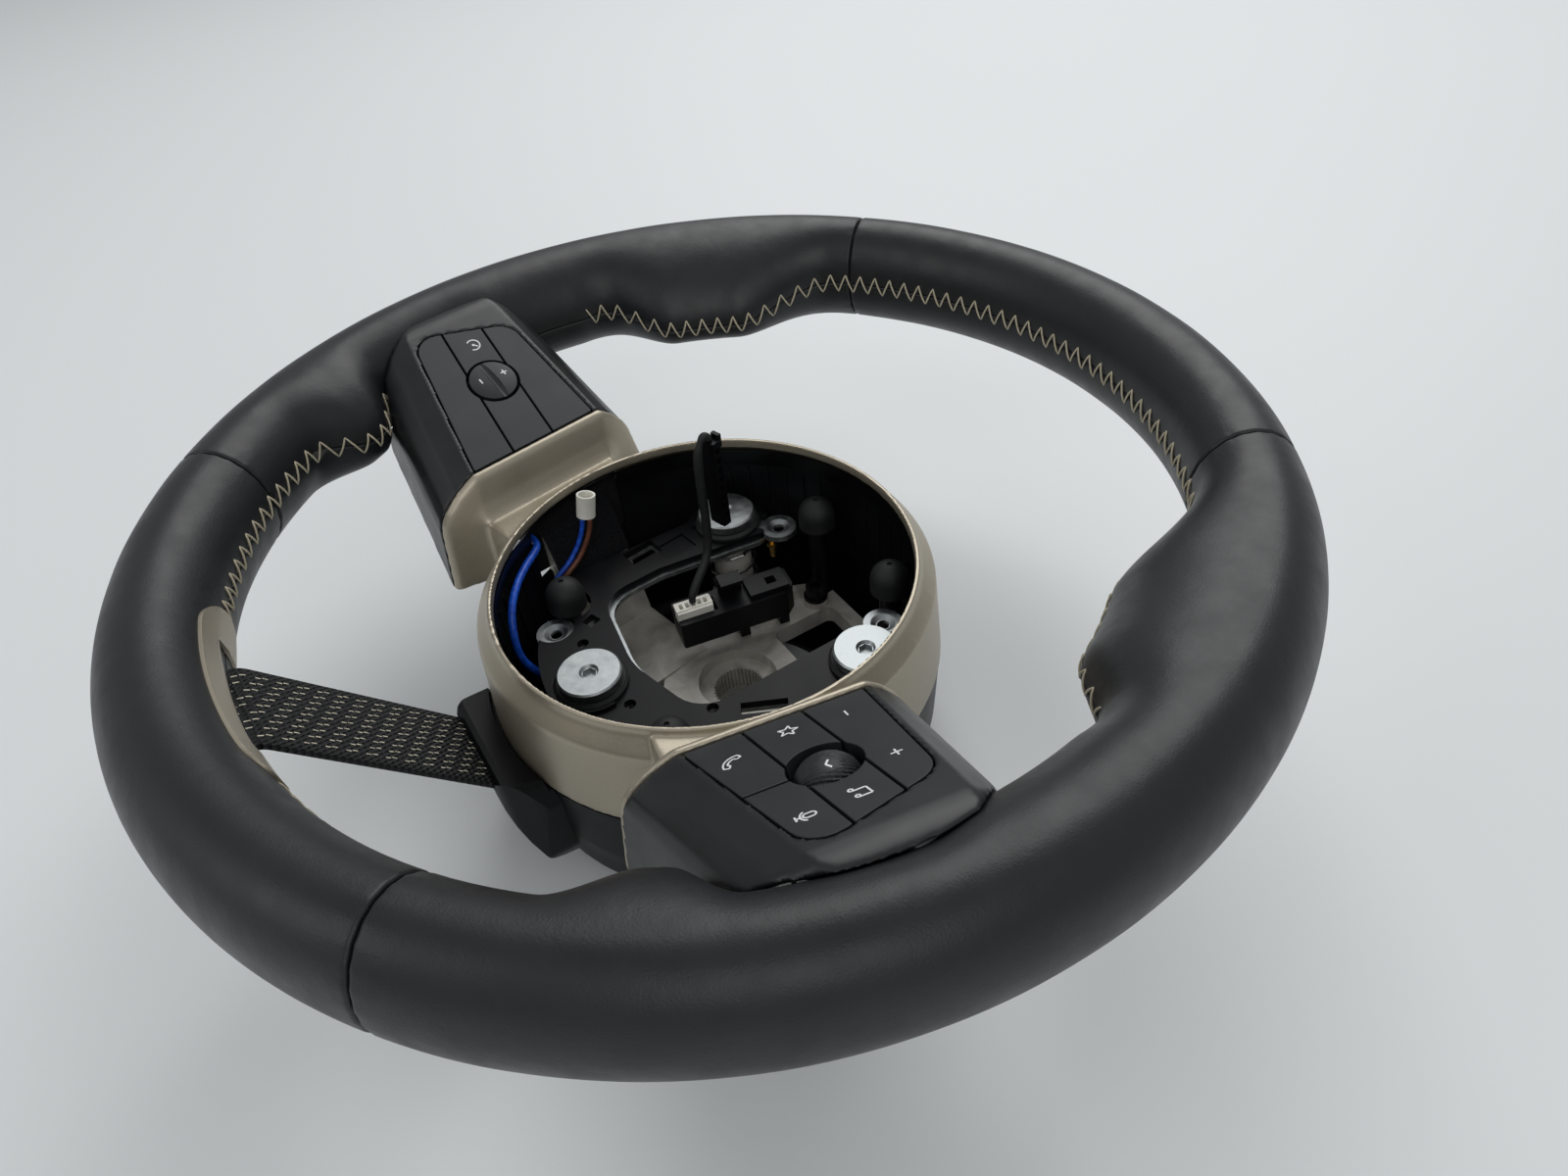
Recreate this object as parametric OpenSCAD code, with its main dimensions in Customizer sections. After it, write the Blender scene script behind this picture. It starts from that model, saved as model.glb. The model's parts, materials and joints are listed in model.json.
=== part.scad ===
// A three-spoke car steering wheel with its airbag module taken out.
// It lies face up on its back cover. The origin is on the steering axis at the resting face,
// +X is the driver's right, +Y the top of the wheel and +Z points to the driver.

/* [Rim] */
// Outer diameter of the rim
rim_outer_d = 370; // [362:1:378]
// Width of the rim section along a radius
rim_section_w = 33.4; // [31:0.2:36]
// Depth of the rim section along the steering axis
rim_section_h = 42.4; // [39:0.2:45]
// Height of the rim's middle plane over the resting face
rim_plane_z = 114; // [112:0.5:116]
// Thickness of the leather
leather_t = 1.2; // [0.8:0.1:1.6]
// Angle of each leather seam from the vertical
seam_angle = 37; // [35:0.5:39]
// Butt gap between two leather panels
seam_gap = 0.4; // [0.2:0.1:0.8]
// Radius of the cast ring inside the foam
core_r = 6.5; // [5:0.5:8]

/* [Thumb rests] */
// How far a thumb rest swells towards the hub
thumb_depth = 22; // [14:1:24]
// Angle at which a thumb rest starts, measured up from the horizontal
thumb_from = 8; // [6:1:10]
// Angle at which a thumb rest ends
thumb_to = 51; // [48:1:52]
// How far the leather swells where the switch housing sits
root_depth = 6.5; // [4:0.5:9]
// How far the leather swells under the lower side of a spoke
wing_depth = 12; // [6:1:14]
// How far the thumb rest sinks below the rim's middle plane
thumb_droop = 9; // [4:1:12]

/* [Spokes and switch housings] */
// Distance of the switch plate's inner edge from the steering axis
pod_x = 85.1; // [84:0.1:87]
// Place of the switch plate's middle below the horizontal
pod_y = -29.25; // [-31:0.25:-27]
// Height of the switch plate's inner edge over the resting face
pod_z = 102.5; // [101:0.5:104]
// Turn of the switch plate about the steering axis
pod_yaw = 10.5; // [9:0.5:12]
// Rise of the switch plate towards the rim
pod_rise = 25; // [23:0.5:27]
// Depth of a spoke under its switch plate
spoke_depth = 42.5; // [40:0.5:45]
// Run of the lower shoulder beside the switch plate
lower_run = 17.5; // [15:0.5:19]
// Run of the upper shoulder beside the switch plate
upper_run = 11.3; // [9:0.5:13]
// Drop of both shoulders
shoulder_drop = 13.6; // [12:0.2:15]
// Wall of the switch housings
housing_wall = 2.4; // [2:0.1:2.8]

/* [Switch keys] */
// Thickness of a key
key_t = 5; // [4.5:0.1:5.5]
// Travel of a key
key_travel = 0.8; // [0.5:0.1:1]
// Gap between two keys
key_gap = 0.8; // [0.6:0.1:1.2]
// Radius of the round opening between the keys
dial_hole_r = 10.1; // [9.8:0.1:10.5]
// Radius of the round speed rocker
speed_rocker_r = 9.3; // [8.8:0.1:9.4]
// Distance of the dials from the plate's inner edge
dial_u = 32; // [31:0.5:33]
// Offset of the dials from the plate's middle line
dial_v = 2.7; // [2:0.1:3.4]
// Largest radius of the scroll roller
roller_r = 9.8; // [9.5:0.1:9.8]
// Width of the scroll roller
roller_w = 16.8; // [15.6:0.2:16.8]
// Depth of the roller's pin under the plate
roller_sink = 7.6; // [7.5:0.1:7.8]
// Depth of the speed rocker's pin under the plate
rocker_sink = 5; // [4.8:0.1:5.2]
// Radius of the dial pins
pin_r = 1.1; // [1:0.05:1.2]
// Running clearance of the dial pins
pin_gap = 0.06; // [0.03:0.01:0.1]

/* [Hub] */
// Offset of the round hub cover below the steering axis
hub_y = -6.3; // [-7:0.1:-5.5]
// How far the bezel's lip stands in from its wall
lip_inset = 8.6; // [8:0.1:9.2]
// Height of the lip over the resting face
lip_z = 88.4; // [87.4:0.2:89]
// Radius of the bezel wall at its lower edge
bezel_r = 82; // [81:0.2:83]
// Height of the bezel's lower edge
bezel_low_z = 50; // [48:0.5:52]
// Wall of the bezel
bezel_wall = 2.3; // [2:0.1:2.5]
// How far the bore of the black liner stands in from the bezel's wall
liner_inset = 7; // [6.8:0.1:7.4]
// Wall of the liner and the back cover
cover_wall = 2; // [1.8:0.1:2.1]
// Radius of the opening in the back cover
cover_hole_r = 50; // [44:1:52]

/* [Armature] */
// Radius of the column bore
bore_r = 9.6; // [9:0.1:11]
// Height of the boss above the resting face at its seat
boss_seat_z = 19; // [18:0.5:20]
// Height of the top of the armature floor
floor_top_z = 24; // [23:0.5:25]
// Thickness of the armature floor
floor_t = 8; // [6:0.5:9]
// Outer radius of the boss
boss_r = 21; // [19:0.5:23]
// Distance of the damper posts from the steering axis
damper_ring_r = 55; // [54:0.5:55.5]
// Radius of a damper post
post_r = 8; // [7:0.5:8.5]
// Width of an arm
arm_w = 30; // [26:1:32]
// Thickness of an arm
arm_t = 10; // [9:0.5:11]
// Depth of an arm's middle under the switch plate
arm_sink = 28.5; // [28:0.25:29]

/* [Carrier] */
// Height of the carrier's underside
carrier_z = 53; // [52:0.5:54]
// Thickness of the steel plate
steel_t = 2; // [1.5:0.1:2.2]
// Thickness of the moulded cover on the plate
mould_t = 3; // [2.4:0.1:3.4]
// Distance of the carrier's inner edge below the steering axis
carrier_in_y = 39.5; // [38.5:0.5:40.5]
// Half width of the carrier's open side
carrier_in_x = 34.5; // [33.5:0.5:35]
// Outer radius of the carrier
carrier_out_r = 66; // [65:0.5:66.5]
// Outer radius of a damper ring
ring_r = 13; // [12:0.2:13.4]
// Radius of a damper disc
disc_r = 11.4; // [10.8:0.2:12]
// Travel of the carrier when it is pressed
carrier_travel = 1.5; // [1:0.1:1.8]
// Radius of a bumper dome
bumper_r = 7.3; // [6.6:0.1:7.6]
// Height of a bumper's tip over the resting face
bumper_tip_z = 71; // [70:0.5:72]

/* [Strap and trim] */
// Width of the woven strap
strap_w = 35; // [32:0.5:37]
// Thickness of the woven strap
strap_t = 2.2; // [1.8:0.1:2.6]
// Half length of the trim in the rim
trim_half_len = 39; // [36:0.5:41]
// Half height of the trim in the rim
trim_half_h = 11.5; // [10:0.5:13]
// How far the trim stands out of the leather
trim_proud = 0.8; // [0.4:0.1:1.2]

/* [Hidden] */

$fn = 64;
fit_gap = 0.3;
soft_gap = 0.5;
rim_r = rim_outer_d / 2 - rim_section_w / 2;
side_span = 180 - 2 * seam_angle;
side_steps = 24;
section_steps = 24;
side_angles = [for (i = [0 : side_steps]) -side_span / 2 + i * side_span / side_steps];
seam_turn = atan(seam_gap / 2 / rim_r);
rise_slope = tan(pod_rise);
lip_r = bezel_r - lip_inset;
liner_r = bezel_r - liner_inset;

// Basic curves and outlines

function smooth(t) = let (c = max(0, min(1, t))) c * c * (3 - 2 * c);
function unit(v) = v / norm(v);
function lines_half(p, q, s) = acos(unit(p - q) * unit(s - q)) / 2;
function corner_way(p, q, s) = unit(unit(p - q) + unit(s - q));

// A corner at q turned into an arc of radius r
function corner_arc(p, q, s, r, steps = 6) =
    let (half = lines_half(p, q, s),
         centre = q + corner_way(p, q, s) * r / sin(half),
         first = q + unit(p - q) * r / tan(half) - centre,
         last = q + unit(s - q) * r / tan(half) - centre,
         start = atan2(first[1], first[0]),
         raw = atan2(last[1], last[0]) - start,
         turn = raw > 180 ? raw - 360 : raw < -180 ? raw + 360 : raw)
    [for (i = [0 : steps]) centre + r * [cos(start + turn * i / steps), sin(start + turn * i / steps)]];

function neighbours(points, i) =
    [points[(i + len(points) - 1) % len(points)], points[i], points[(i + 1) % len(points)]];

// A convex outline moved outwards by grow
function grown(points, grow) =
    [for (i = [0 : len(points) - 1]) let (c = neighbours(points, i))
        c[1] - corner_way(c[0], c[1], c[2]) * grow / sin(lines_half(c[0], c[1], c[2]))];

function rounded(points, radii) =
    [for (i = [0 : len(points) - 1]) let (c = neighbours(points, i))
        each corner_arc(c[0], c[1], c[2], radii[i])];

// A closed solid through a list of rings with equal point counts
module loft(rings) {
    n = len(rings[0]);
    m = len(rings);
    sides = [for (j = [0 : m - 2], i = [0 : n - 1])
        let (a = j * n + i, b = j * n + (i + 1) % n) each [[a, b, b + n], [a, b + n, a + n]]];
    low_cap = [for (i = [n - 1 : -1 : 0]) i];
    high_cap = [for (i = [0 : n - 1]) (m - 1) * n + i];
    polyhedron([for (ring = rings) each ring], concat(sides, [low_cap, high_cap]));
}

// A hollow solid between two lists of rings, open at both ends
module tube_loft(outer, inner) {
    n = len(outer[0]);
    m = len(outer);
    base = n * m;
    walls = [for (j = [0 : m - 2], i = [0 : n - 1])
        let (a = j * n + i, b = j * n + (i + 1) % n)
        each [[a, b, b + n], [a, b + n, a + n],
              [base + a, base + b + n, base + b], [base + a, base + a + n, base + b + n]]];
    ends = [for (i = [0 : n - 1])
        let (k = (i + 1) % n, top = (m - 1) * n)
        each [[i, base + k, k], [i, base + i, base + k],
              [top + i, top + k, base + top + k], [top + i, base + top + k, base + top + i]]];
    polyhedron([for (ring = concat(outer, inner)) each ring], concat(walls, ends));
}

// A closed ring through a list of rings that ends where it starts
module ring_loft(rings) {
    n = len(rings[0]);
    m = len(rings);
    sides = [for (j = [0 : m - 1], i = [0 : n - 1])
        let (k = (j + 1) % m, a = j * n + i, b = j * n + (i + 1) % n,
             c = k * n + i, d = k * n + (i + 1) % n) each [[a, b, d], [a, d, c]]];
    polyhedron([for (ring = rings) each ring], sides);
}

// Rim section

// Swelling of the rim towards the hub, at an angle up from the horizontal on either side
function swell(a) =
    thumb_depth * smooth((a - thumb_from) / 15) * smooth((thumb_to - a) / 17)
    + root_depth * smooth((15 - a) / 8) * smooth((a + 12) / 7)
    + wing_depth * smooth((a + 43) / 8) * smooth((-26 - a) / 7);

// Angle from the horizontal on the nearer side for a direction around the wheel
function side_angle(turn) = let (t = (turn + 450) % 360 - 90) t <= 90 ? t : 180 - t;

function rim_section(bulge, inset, steps = section_steps) =
    [for (i = [0 : steps - 1])
        let (a = 360 * i / steps,
             half_w = rim_section_w / 2 - inset + (cos(a) < 0 ? bulge : 0),
             sink = cos(a) < 0 ? thumb_droop * bulge / thumb_depth * cos(a) * cos(a) : 0)
        [rim_r + half_w * cos(a), rim_plane_z + (rim_section_h / 2 - inset) * sin(a) - sink]];

// The rim section set up at a direction around the wheel
function rim_ring(turn, inset, steps = section_steps) =
    [for (p = rim_section(swell(side_angle(turn)), inset, steps))
        [p[0] * cos(turn), p[0] * sin(turn), p[1]]];

module leather_arc(middle) {
    span = 2 * seam_angle - 2 * seam_turn;
    rotate([0, 0, middle - span / 2])
        rotate_extrude(angle = span)
            difference() {
                polygon(rim_section(0, 0));
                polygon(rim_section(0, leather_t));
            }
}

// Outline of the trim seen from the hub, grown by a clearance
module trim_prism(grow) {
    half = trim_half_h + grow;
    translate([0, -rim_r + rim_section_w / 2 + 12, rim_plane_z])
        rotate([90, 0, 0])
            linear_extrude(24)
                intersection() {
                    square([2 * (trim_half_len + grow), 2 * half], center = true);
                    union() {
                        translate([-trim_half_len + half, 0])
                            circle(half);
                        translate([trim_half_len - half, 0])
                            circle(half);
                        square([2 * (trim_half_len - half), 2 * half], center = true);
                    }
                }
}

module leather_top() {
    color("#2b2d30") leather_arc(90);
}

module leather_bottom() {
    color("#2b2d30")
        difference() {
            leather_arc(270);
            trim_prism(fit_gap);
        }
}

module leather_side() {
    trimmed = [for (i = [0 : side_steps])
        side_angles[i] + (i == 0 ? seam_turn : i == side_steps ? -seam_turn : 0)];
    tube_loft([for (a = trimmed) rim_ring(a, 0)], [for (a = trimmed) rim_ring(a, leather_t)]);
}

module leather_right() {
    color("#2b2d30")
        difference() {
            leather_side();
            arm(1, fit_gap);
        }
}

module leather_left() {
    color("#2b2d30")
        difference() {
            mirror([1, 0, 0]) leather_side();
            arm(-1, fit_gap);
        }
}

// The foam has its sections where the leather has them, so that both surfaces keep their distance
function arc_turns(from, span, steps) = [for (i = [1 : steps - 1]) from + span * i / steps];
foam_turns = concat(side_angles, arc_turns(side_span / 2, 2 * seam_angle, 12),
    [for (a = side_angles) 180 + a], arc_turns(180 + side_span / 2, 2 * seam_angle, 12));

module rim_foam() {
    color("#55585c")
        difference() {
            ring_loft([for (a = foam_turns) rim_ring(a, leather_t + soft_gap, 12)]);
            core_ring(fit_gap);
            arm(1, fit_gap);
            arm(-1, fit_gap);
            trim_prism(2 * fit_gap);
        }
}

// Curved trim let into the inner face of the rim, with the slot that the strap leaves by
module rim_trim() {
    back = 4;
    color("#b5aa8c")
        difference() {
            intersection() {
                rotate([0, 0, 250])
                    rotate_extrude(angle = 40)
                        difference() {
                            polygon(rim_section(0, -trim_proud));
                            polygon(rim_section(0, back));
                        }
                trim_prism(0);
            }
            strap_slot();
            // Shallow dish round the slot
            translate([0, strap_rim_y + trim_proud + 6.6, strap_rim_z])
                rotate([0, 90, 0])
                    cylinder(h = strap_w + 12, r = 9, center = true);
        }
}

// Strap

strap_rim_z = rim_plane_z - 2;
strap_hub_z = 50;
strap_hub_y = hub_y - bezel_r - 8;
strap_rim_y = -rim_r + rim_section_w / 2;
strap_line = [[strap_rim_y - 8, strap_rim_z], [strap_rim_y + 2, strap_rim_z],
              [strap_hub_y, strap_hub_z], [strap_hub_y + 7, strap_hub_z - 3]];

function band_normals(line) =
    [for (i = [0 : len(line) - 1])
        let (a = line[max(0, i - 1)], b = line[min(len(line) - 1, i + 1)], d = unit(b - a)) [-d[1], d[0]]];

function band(line, t) =
    let (n = band_normals(line))
    concat([for (i = [0 : len(line) - 1]) line[i] + n[i] * t / 2],
           [for (i = [len(line) - 1 : -1 : 0]) line[i] - n[i] * t / 2]);

module strap_solid(t, w) {
    rotate([90, 0, 90])
        linear_extrude(w, center = true)
            polygon(band(strap_line, t));
}

module strap_slot() {
    strap_solid(strap_t + 2 * fit_gap + 0.4, strap_w + 2 * fit_gap + 0.4);
}

module strap() {
    color("#3a3b3d") strap_solid(strap_t, strap_w);
}

// Spokes: one frame at the inner edge of each switch plate

module pod_frame(side) {
    mirror([side < 0 ? 1 : 0, 0, 0])
        translate([pod_x, pod_y, pod_z])
            rotate([0, 0, -pod_yaw])
                children();
}

module plate_frame(side) {
    pod_frame(side) rotate([0, -pod_rise, 0]) children();
}

// The switch plate's corners, in the plate's own plane
plate_corners = [[0, -27.3], [65.1, -12.7], [52.8, 24.6], [0, 26.6]];
plate_radii = [1.2, 9, 9, 1.2];

function plate_outline(grow) =
    rounded(grown(plate_corners, grow), [for (r = plate_radii) max(0.4, r + grow)]);

// Edges of the switch plate at a distance s from its inner edge, in plan
function near_edge(s) = plate_corners[0][1] - 1.6
    + (plate_corners[1][1] - plate_corners[0][1]) / plate_corners[1][0] * s / cos(pod_rise);
function far_edge(s) = plate_corners[3][1] + 1.6
    + (plate_corners[2][1] - plate_corners[3][1]) / plate_corners[2][0] * s / cos(pod_rise);

// One flank of a spoke from its upper edge down, as run and drop
function flank(run, draft, depth) =
    [[0, 0], [0.45 * run, 0.3 * shoulder_drop], [0.8 * run, 0.66 * shoulder_drop],
     [0.96 * run, 0.95 * shoulder_drop], [1.03 * run, 1.25 * shoulder_drop], [run + draft, depth]];

// Section of a spoke: its two upper edges, its height and how far both flanks are pulled in
function spoke_ring(s, near, far, top, inset, pull, depth) =
    let (low = flank(lower_run - pull, 3.5, depth), high = flank(upper_run - pull / 2, 6, depth))
    concat([for (i = [len(low) - 1 : -1 : 0]) [s, near - low[i][0] + inset, top - low[i][1]]],
           [for (i = [0 : len(high) - 1]) [s, far + high[i][0] - inset, top - high[i][1]]]);

// Stations along a housing: place, fall of the top, and pull of the flanks
function rolled(s, roll_from, roll) = s <= roll_from ? 0
    : roll * (1 - sqrt(max(0, 1 - pow((s - roll_from) / 14, 2))));
housing_roll_from = 58;
hollow_end = 61;
housing_stations = [0, 14, 28, 42, 54, 59, 63, 66.5, 69.5, 71.5];

function housing_ring(s, inset) =
    let (fall = rolled(s, housing_roll_from, 12),
         pull = 0.55 * fall)
    spoke_ring(s, near_edge(s) + fall, far_edge(s) - fall * 0.8, s * rise_slope - fall - inset,
        inset, pull, spoke_depth - fall);

// The hollow under a housing's shell and round its key pocket
function channel_ring(s) =
    let (ring = housing_ring(s, housing_wall),
         near = near_edge(s) - 0.7,
         far = far_edge(s) + 0.7,
         floor_z = s * rise_slope - (pocket_depth + pocket_floor_t) / cos(pod_rise),
         eave = (ring[4][2] + ring[5][2]) / 2)
    concat([[s, ring[0][1], ring[0][2] - 6]], [for (i = [1 : 4]) ring[i]],
           [[s, near, eave], [s, near, floor_z], [s, far, floor_z], [s, far, eave]],
           [for (i = [7 : 10]) ring[i]], [[s, ring[11][1], ring[11][2] - 6]]);

module housing_outer() {
    loft([for (s = housing_stations) housing_ring(s, 0)]);
}

// The hollow stops short of the rim, so that the end wall stays solid
module housing_hollow() {
    intersection() {
        loft([for (s = [-2, 20, 40, 54, 62, 70]) channel_ring(s)]);
        translate([-1, -60, -60])
            cube([hollow_end + 1, 120, 120]);
    }
}

// Envelope of the rim's side, used to let the housing into the leather
module rim_side_envelope() {
    loft([for (a = side_angles) if (a > -50 && a < 18) rim_ring(a, -fit_gap - 0.1)]);
}

pocket_depth = key_t + 6.2;
pocket_floor_t = 2;
board_t = 1.6;
board_end_u = 55;
mat_t = 0.8;
arm_top_w = arm_t / 2 - arm_sink * cos(pod_rise);
screw_places = [[12, -6], [48, 3]];
housing_screw_r = 1.6;

function edge_at(a, b, u) = a[1] + (b[1] - a[1]) / (b[0] - a[0]) * (u - a[0]);

// The key pocket runs out past the hub side, where the bezel's cap closes it
pocket_open_u = -20;
pocket_corners = [[pocket_open_u, edge_at(plate_corners[0], plate_corners[1], pocket_open_u)],
    plate_corners[1], plate_corners[2],
    [pocket_open_u, edge_at(plate_corners[3], plate_corners[2], pocket_open_u)]];

module key_pocket() {
    translate([0, 0, -pocket_depth])
        linear_extrude(pocket_depth + 10)
            polygon(rounded(pocket_corners, plate_radii));
}

module housing_body() {
    difference() {
        housing_outer();
        housing_hollow();
        rotate([0, -pod_rise, 0])
            key_pocket();
    }
}

// Way through the end wall for the armature's arm
arm_room = 1;

module arm_passage() {
    room = arm_room;
    rotate([90, 0, 0])
        linear_extrude(arm_w + 2 * room, center = true)
            polygon(band([[hollow_end - 8, (hollow_end - 8) * rise_slope - arm_sink],
                [66, 66 * rise_slope - arm_sink], [ring_s, rim_plane_z - pod_z]], arm_t + 2 * room));
}

// Posts under the pocket floor that stand on the armature's arm
module housing_posts() {
    rotate([0, -pod_rise, 0])
        for (p = screw_places)
            translate([p[0], p[1], arm_top_w])
                difference() {
                    cylinder(h = -arm_top_w - pocket_depth - pocket_floor_t / 2, r = 4);
                    translate([0, 0, -1])
                        cylinder(h = -arm_top_w - pocket_depth - pocket_floor_t, r = housing_screw_r + 0.1);
                }
}

// Well in the pocket floor for the scroll roller
module roller_well() {
    rotate([0, -pod_rise, 0])
        translate([dial_u - roller_r - 1.2, dial_v - roller_w / 2 - 0.6, -pocket_depth - 6])
            cube([2 * roller_r + 2.4, roller_w + 1.2, 8]);
}

// Ears that carry a dial's pin, on the pocket floor at either end of the pin
module pin_ears(along_u, reach, sink) {
    rotate([0, -pod_rise, 0])
        translate([dial_u, dial_v, 0])
            rotate([0, 0, along_u ? 0 : 90])
                for (end = [-1, 1])
                    translate([end * (reach + ear_t / 2), 0, 0])
                        difference() {
                            translate([-ear_t / 2, -ear_half_w, -pocket_depth - 0.5])
                                cube([ear_t, 2 * ear_half_w, pocket_depth + 0.5 - sink + ear_top]);
                            translate([0, 0, -sink])
                                rotate([0, 90, 0])
                                    cylinder(h = 2 * ear_t, r = pin_r, center = true);
                        }
}

ear_t = 2;
ear_half_w = 2.4;
ear_top = 1.6;
rocker_reach = speed_rocker_r + fit_gap - 2.4;
roller_reach = roller_w / 2 + 0.2;

module housing(side) {
    pod_frame(side)
        union() {
            difference() {
                housing_body();
                if (side > 0)
                    roller_well();
                arm_passage();
                rotate([0, 0, pod_yaw])
                    translate([-pod_x, -pod_y, -pod_z])
                        rim_side_envelope();
            }
            housing_posts();
            if (side > 0)
                pin_ears(false, roller_reach, roller_sink);
            else
                pin_ears(true, rocker_reach, rocker_sink);
        }
}

module switch_housing_right() {
    color("#191b1d") housing(1);
}

module switch_housing_left() {
    color("#191b1d") housing(-1);
}

// Keys: lines that part the three rows, in the plate's plane

function row_line(row, u) = row == 1 ? -9.9 + 0.142 * u : 7.6 + 0.108 * u;

module below_line(row) {
    polygon([[-10, row_line(row, -10) - key_gap / 2], [90, row_line(row, 90) - key_gap / 2],
             [90, -60], [-10, -60]]);
}

module above_line(row) {
    polygon([[-10, row_line(row, -10) + key_gap / 2], [90, row_line(row, 90) + key_gap / 2],
             [90, 60], [-10, 60]]);
}

module key_face(row) {
    difference() {
        intersection() {
            polygon(plate_outline(-key_gap / 2));
            if (row == 1)
                below_line(1);
            else if (row == 3)
                above_line(2);
            else
                intersection() {
                    above_line(1);
                    below_line(2);
                }
        }
        translate([dial_u, dial_v])
            circle(dial_hole_r);
    }
}

// The part of a row on the hub side or the rim side of a split
module half_row(row, split, rim_side) {
    intersection() {
        key_face(row);
        if (rim_side)
            translate([split + key_gap / 2, -60])
                square([60, 120]);
        else
            translate([split - key_gap / 2 - 60, -60])
                square([60, 120]);
    }
}

// A key: a flat cap with rounded corners, cut out of the plate's outline
module key(side) {
    color("#3c3f42")
        plate_frame(side)
            translate([0, 0, -key_t])
                linear_extrude(key_t)
                    children();
}

module mode_key() {
    key(-1) key_face(1);
}

module set_key() {
    key(-1) key_face(3);
}

module blank_key() {
    key(-1) half_row(2, dial_u, false);
}

module distance_key() {
    key(-1) half_row(2, dial_u, true);
}

phone_split = 33.7;

module phone_key() {
    key(1) half_row(1, phone_split, false);
}

module voice_key() {
    key(1) half_row(1, phone_split, true);
}

module favourite_key() {
    key(1) half_row(2, dial_u, false);
}

module media_key() {
    key(1) half_row(2, dial_u, true);
}

module volume_rocker() {
    key(1) key_face(3);
}

// Round rocker with a finger channel across it
module speed_rocker() {
    crown = 1.3;
    rocker_draft = 0.4;
    color("#3c3f42")
        plate_frame(-1)
            translate([dial_u, dial_v, 0])
                difference() {
                    intersection() {
                        translate([0, 0, -rocker_sink - 2])
                            cylinder(h = rocker_sink + 2 + crown, r1 = speed_rocker_r,
                                r2 = speed_rocker_r - rocker_draft);
                        translate([0, 0, crown - 40])
                            sphere(40, $fn = 96);
                    }
                    translate([0, 0, crown + 0.4])
                        rotate([0, 90, 0])
                            cylinder(h = 3 * speed_rocker_r, r = 1.7, center = true);
                    for (end = [-1, 1])
                        translate([end * (rocker_reach + 5 - fit_gap) - 5, -15, -rocker_sink - 3])
                            cube([10, 30, 3 + ear_top + 0.8]);
                    translate([0, 0, -rocker_sink])
                        rotate([0, 90, 0])
                            cylinder(h = 3 * speed_rocker_r, r = pin_r + pin_gap, center = true);
                }
}

module dial_pin(side, along_u, reach, sink) {
    color("#b9bcbe")
        plate_frame(side)
            translate([dial_u, dial_v, -sink])
                rotate([0, 0, along_u ? 0 : 90])
                    rotate([0, 90, 0])
                        cylinder(h = 2 * (reach + ear_t), r = pin_r, center = true);
}

module speed_rocker_pin() {
    dial_pin(-1, true, rocker_reach, rocker_sink);
}

module scroll_roller_pin() {
    dial_pin(1, false, roller_reach, roller_sink);
}

// Barrel roller with a flat for the thumb
module scroll_roller() {
    bow = roller_r;
    steps = 12;
    barrel = [for (i = [0 : steps])
        let (y = -roller_w / 2 + roller_w * i / steps) [roller_r - bow + sqrt(bow * bow - y * y), y]];
    color("#2c2e30")
        plate_frame(1)
            translate([dial_u, dial_v, -roller_sink])
                difference() {
                    rotate([90, 0, 0])
                        rotate_extrude($fn = 96)
                            polygon(concat([[pin_r + pin_gap, -roller_w / 2]], barrel,
                                [[pin_r + pin_gap, roller_w / 2]]));
                    rotate([0, 28, 0])
                        translate([-2.5, -20, roller_r - 1.2])
                            cube([20, 40, 10]);
                }
}

// Boards and rubber mats under the keys

module inner_sheet(side, low, t, grow) {
    plate_frame(side)
        translate([0, 0, low])
            linear_extrude(t)
                difference() {
                    intersection() {
                        polygon(plate_outline(grow));
                        translate([0, -40])
                            square([board_end_u, 80]);
                    }
                    if (side > 0)
                        translate([dial_u - roller_r - 1.4, dial_v - roller_w / 2 - 3])
                            square([2 * roller_r + 2.8, roller_w + 6]);
                    else
                        translate([dial_u, dial_v])
                            circle(speed_rocker_r + 1.4);
                }
}

module switch_board_right() {
    color("#1f5a3a") inner_sheet(1, -pocket_depth + 0.2, board_t, -1);
}

module switch_board_left() {
    color("#1f5a3a") inner_sheet(-1, -pocket_depth + 0.2, board_t, -1);
}

// Domes of the mats under the keys, in the plate's plane
mat_domes = [[14, -16], [50, -10], [8, 0], [52, 5], [12, 17], [44, 18]];

module key_mat(side, places) {
    low = -pocket_depth + 0.4 + board_t;
    color("#6d6f70")
        union() {
            inner_sheet(side, low, mat_t, -1.4);
            plate_frame(side)
                for (p = places)
                    translate([p[0], p[1], low])
                        cylinder(h = pocket_depth - 0.4 - board_t - key_t - key_travel - fit_gap,
                            r1 = 2.8, r2 = 2, $fn = 32);
        }
}

module key_mat_right() {
    key_mat(1, mat_domes);
}

module key_mat_left() {
    key_mat(-1, mat_domes);
}

module housing_screws() {
    shank = arm_t - arm_top_w - pocket_depth - pocket_floor_t - 1.5;
    color("#8d8f91")
        for (side = [-1, 1])
            plate_frame(side)
                for (p = screw_places)
                    translate([p[0], p[1], arm_top_w - arm_t])
                        union() {
                            translate([0, 0, -2.4])
                                cylinder(h = 2.4, r = 3.6, $fn = 32);
                            translate([0, 0, -0.1])
                                cylinder(h = shank, r = housing_screw_r, $fn = 32);
                        }
}

// Hub bezel: a turned ring with a flared cap at the root of each spoke

bezel_slope_z = 80;
bezel_slope_r = bezel_r - 2.3;
lip_in_r = lip_r - 1;

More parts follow.
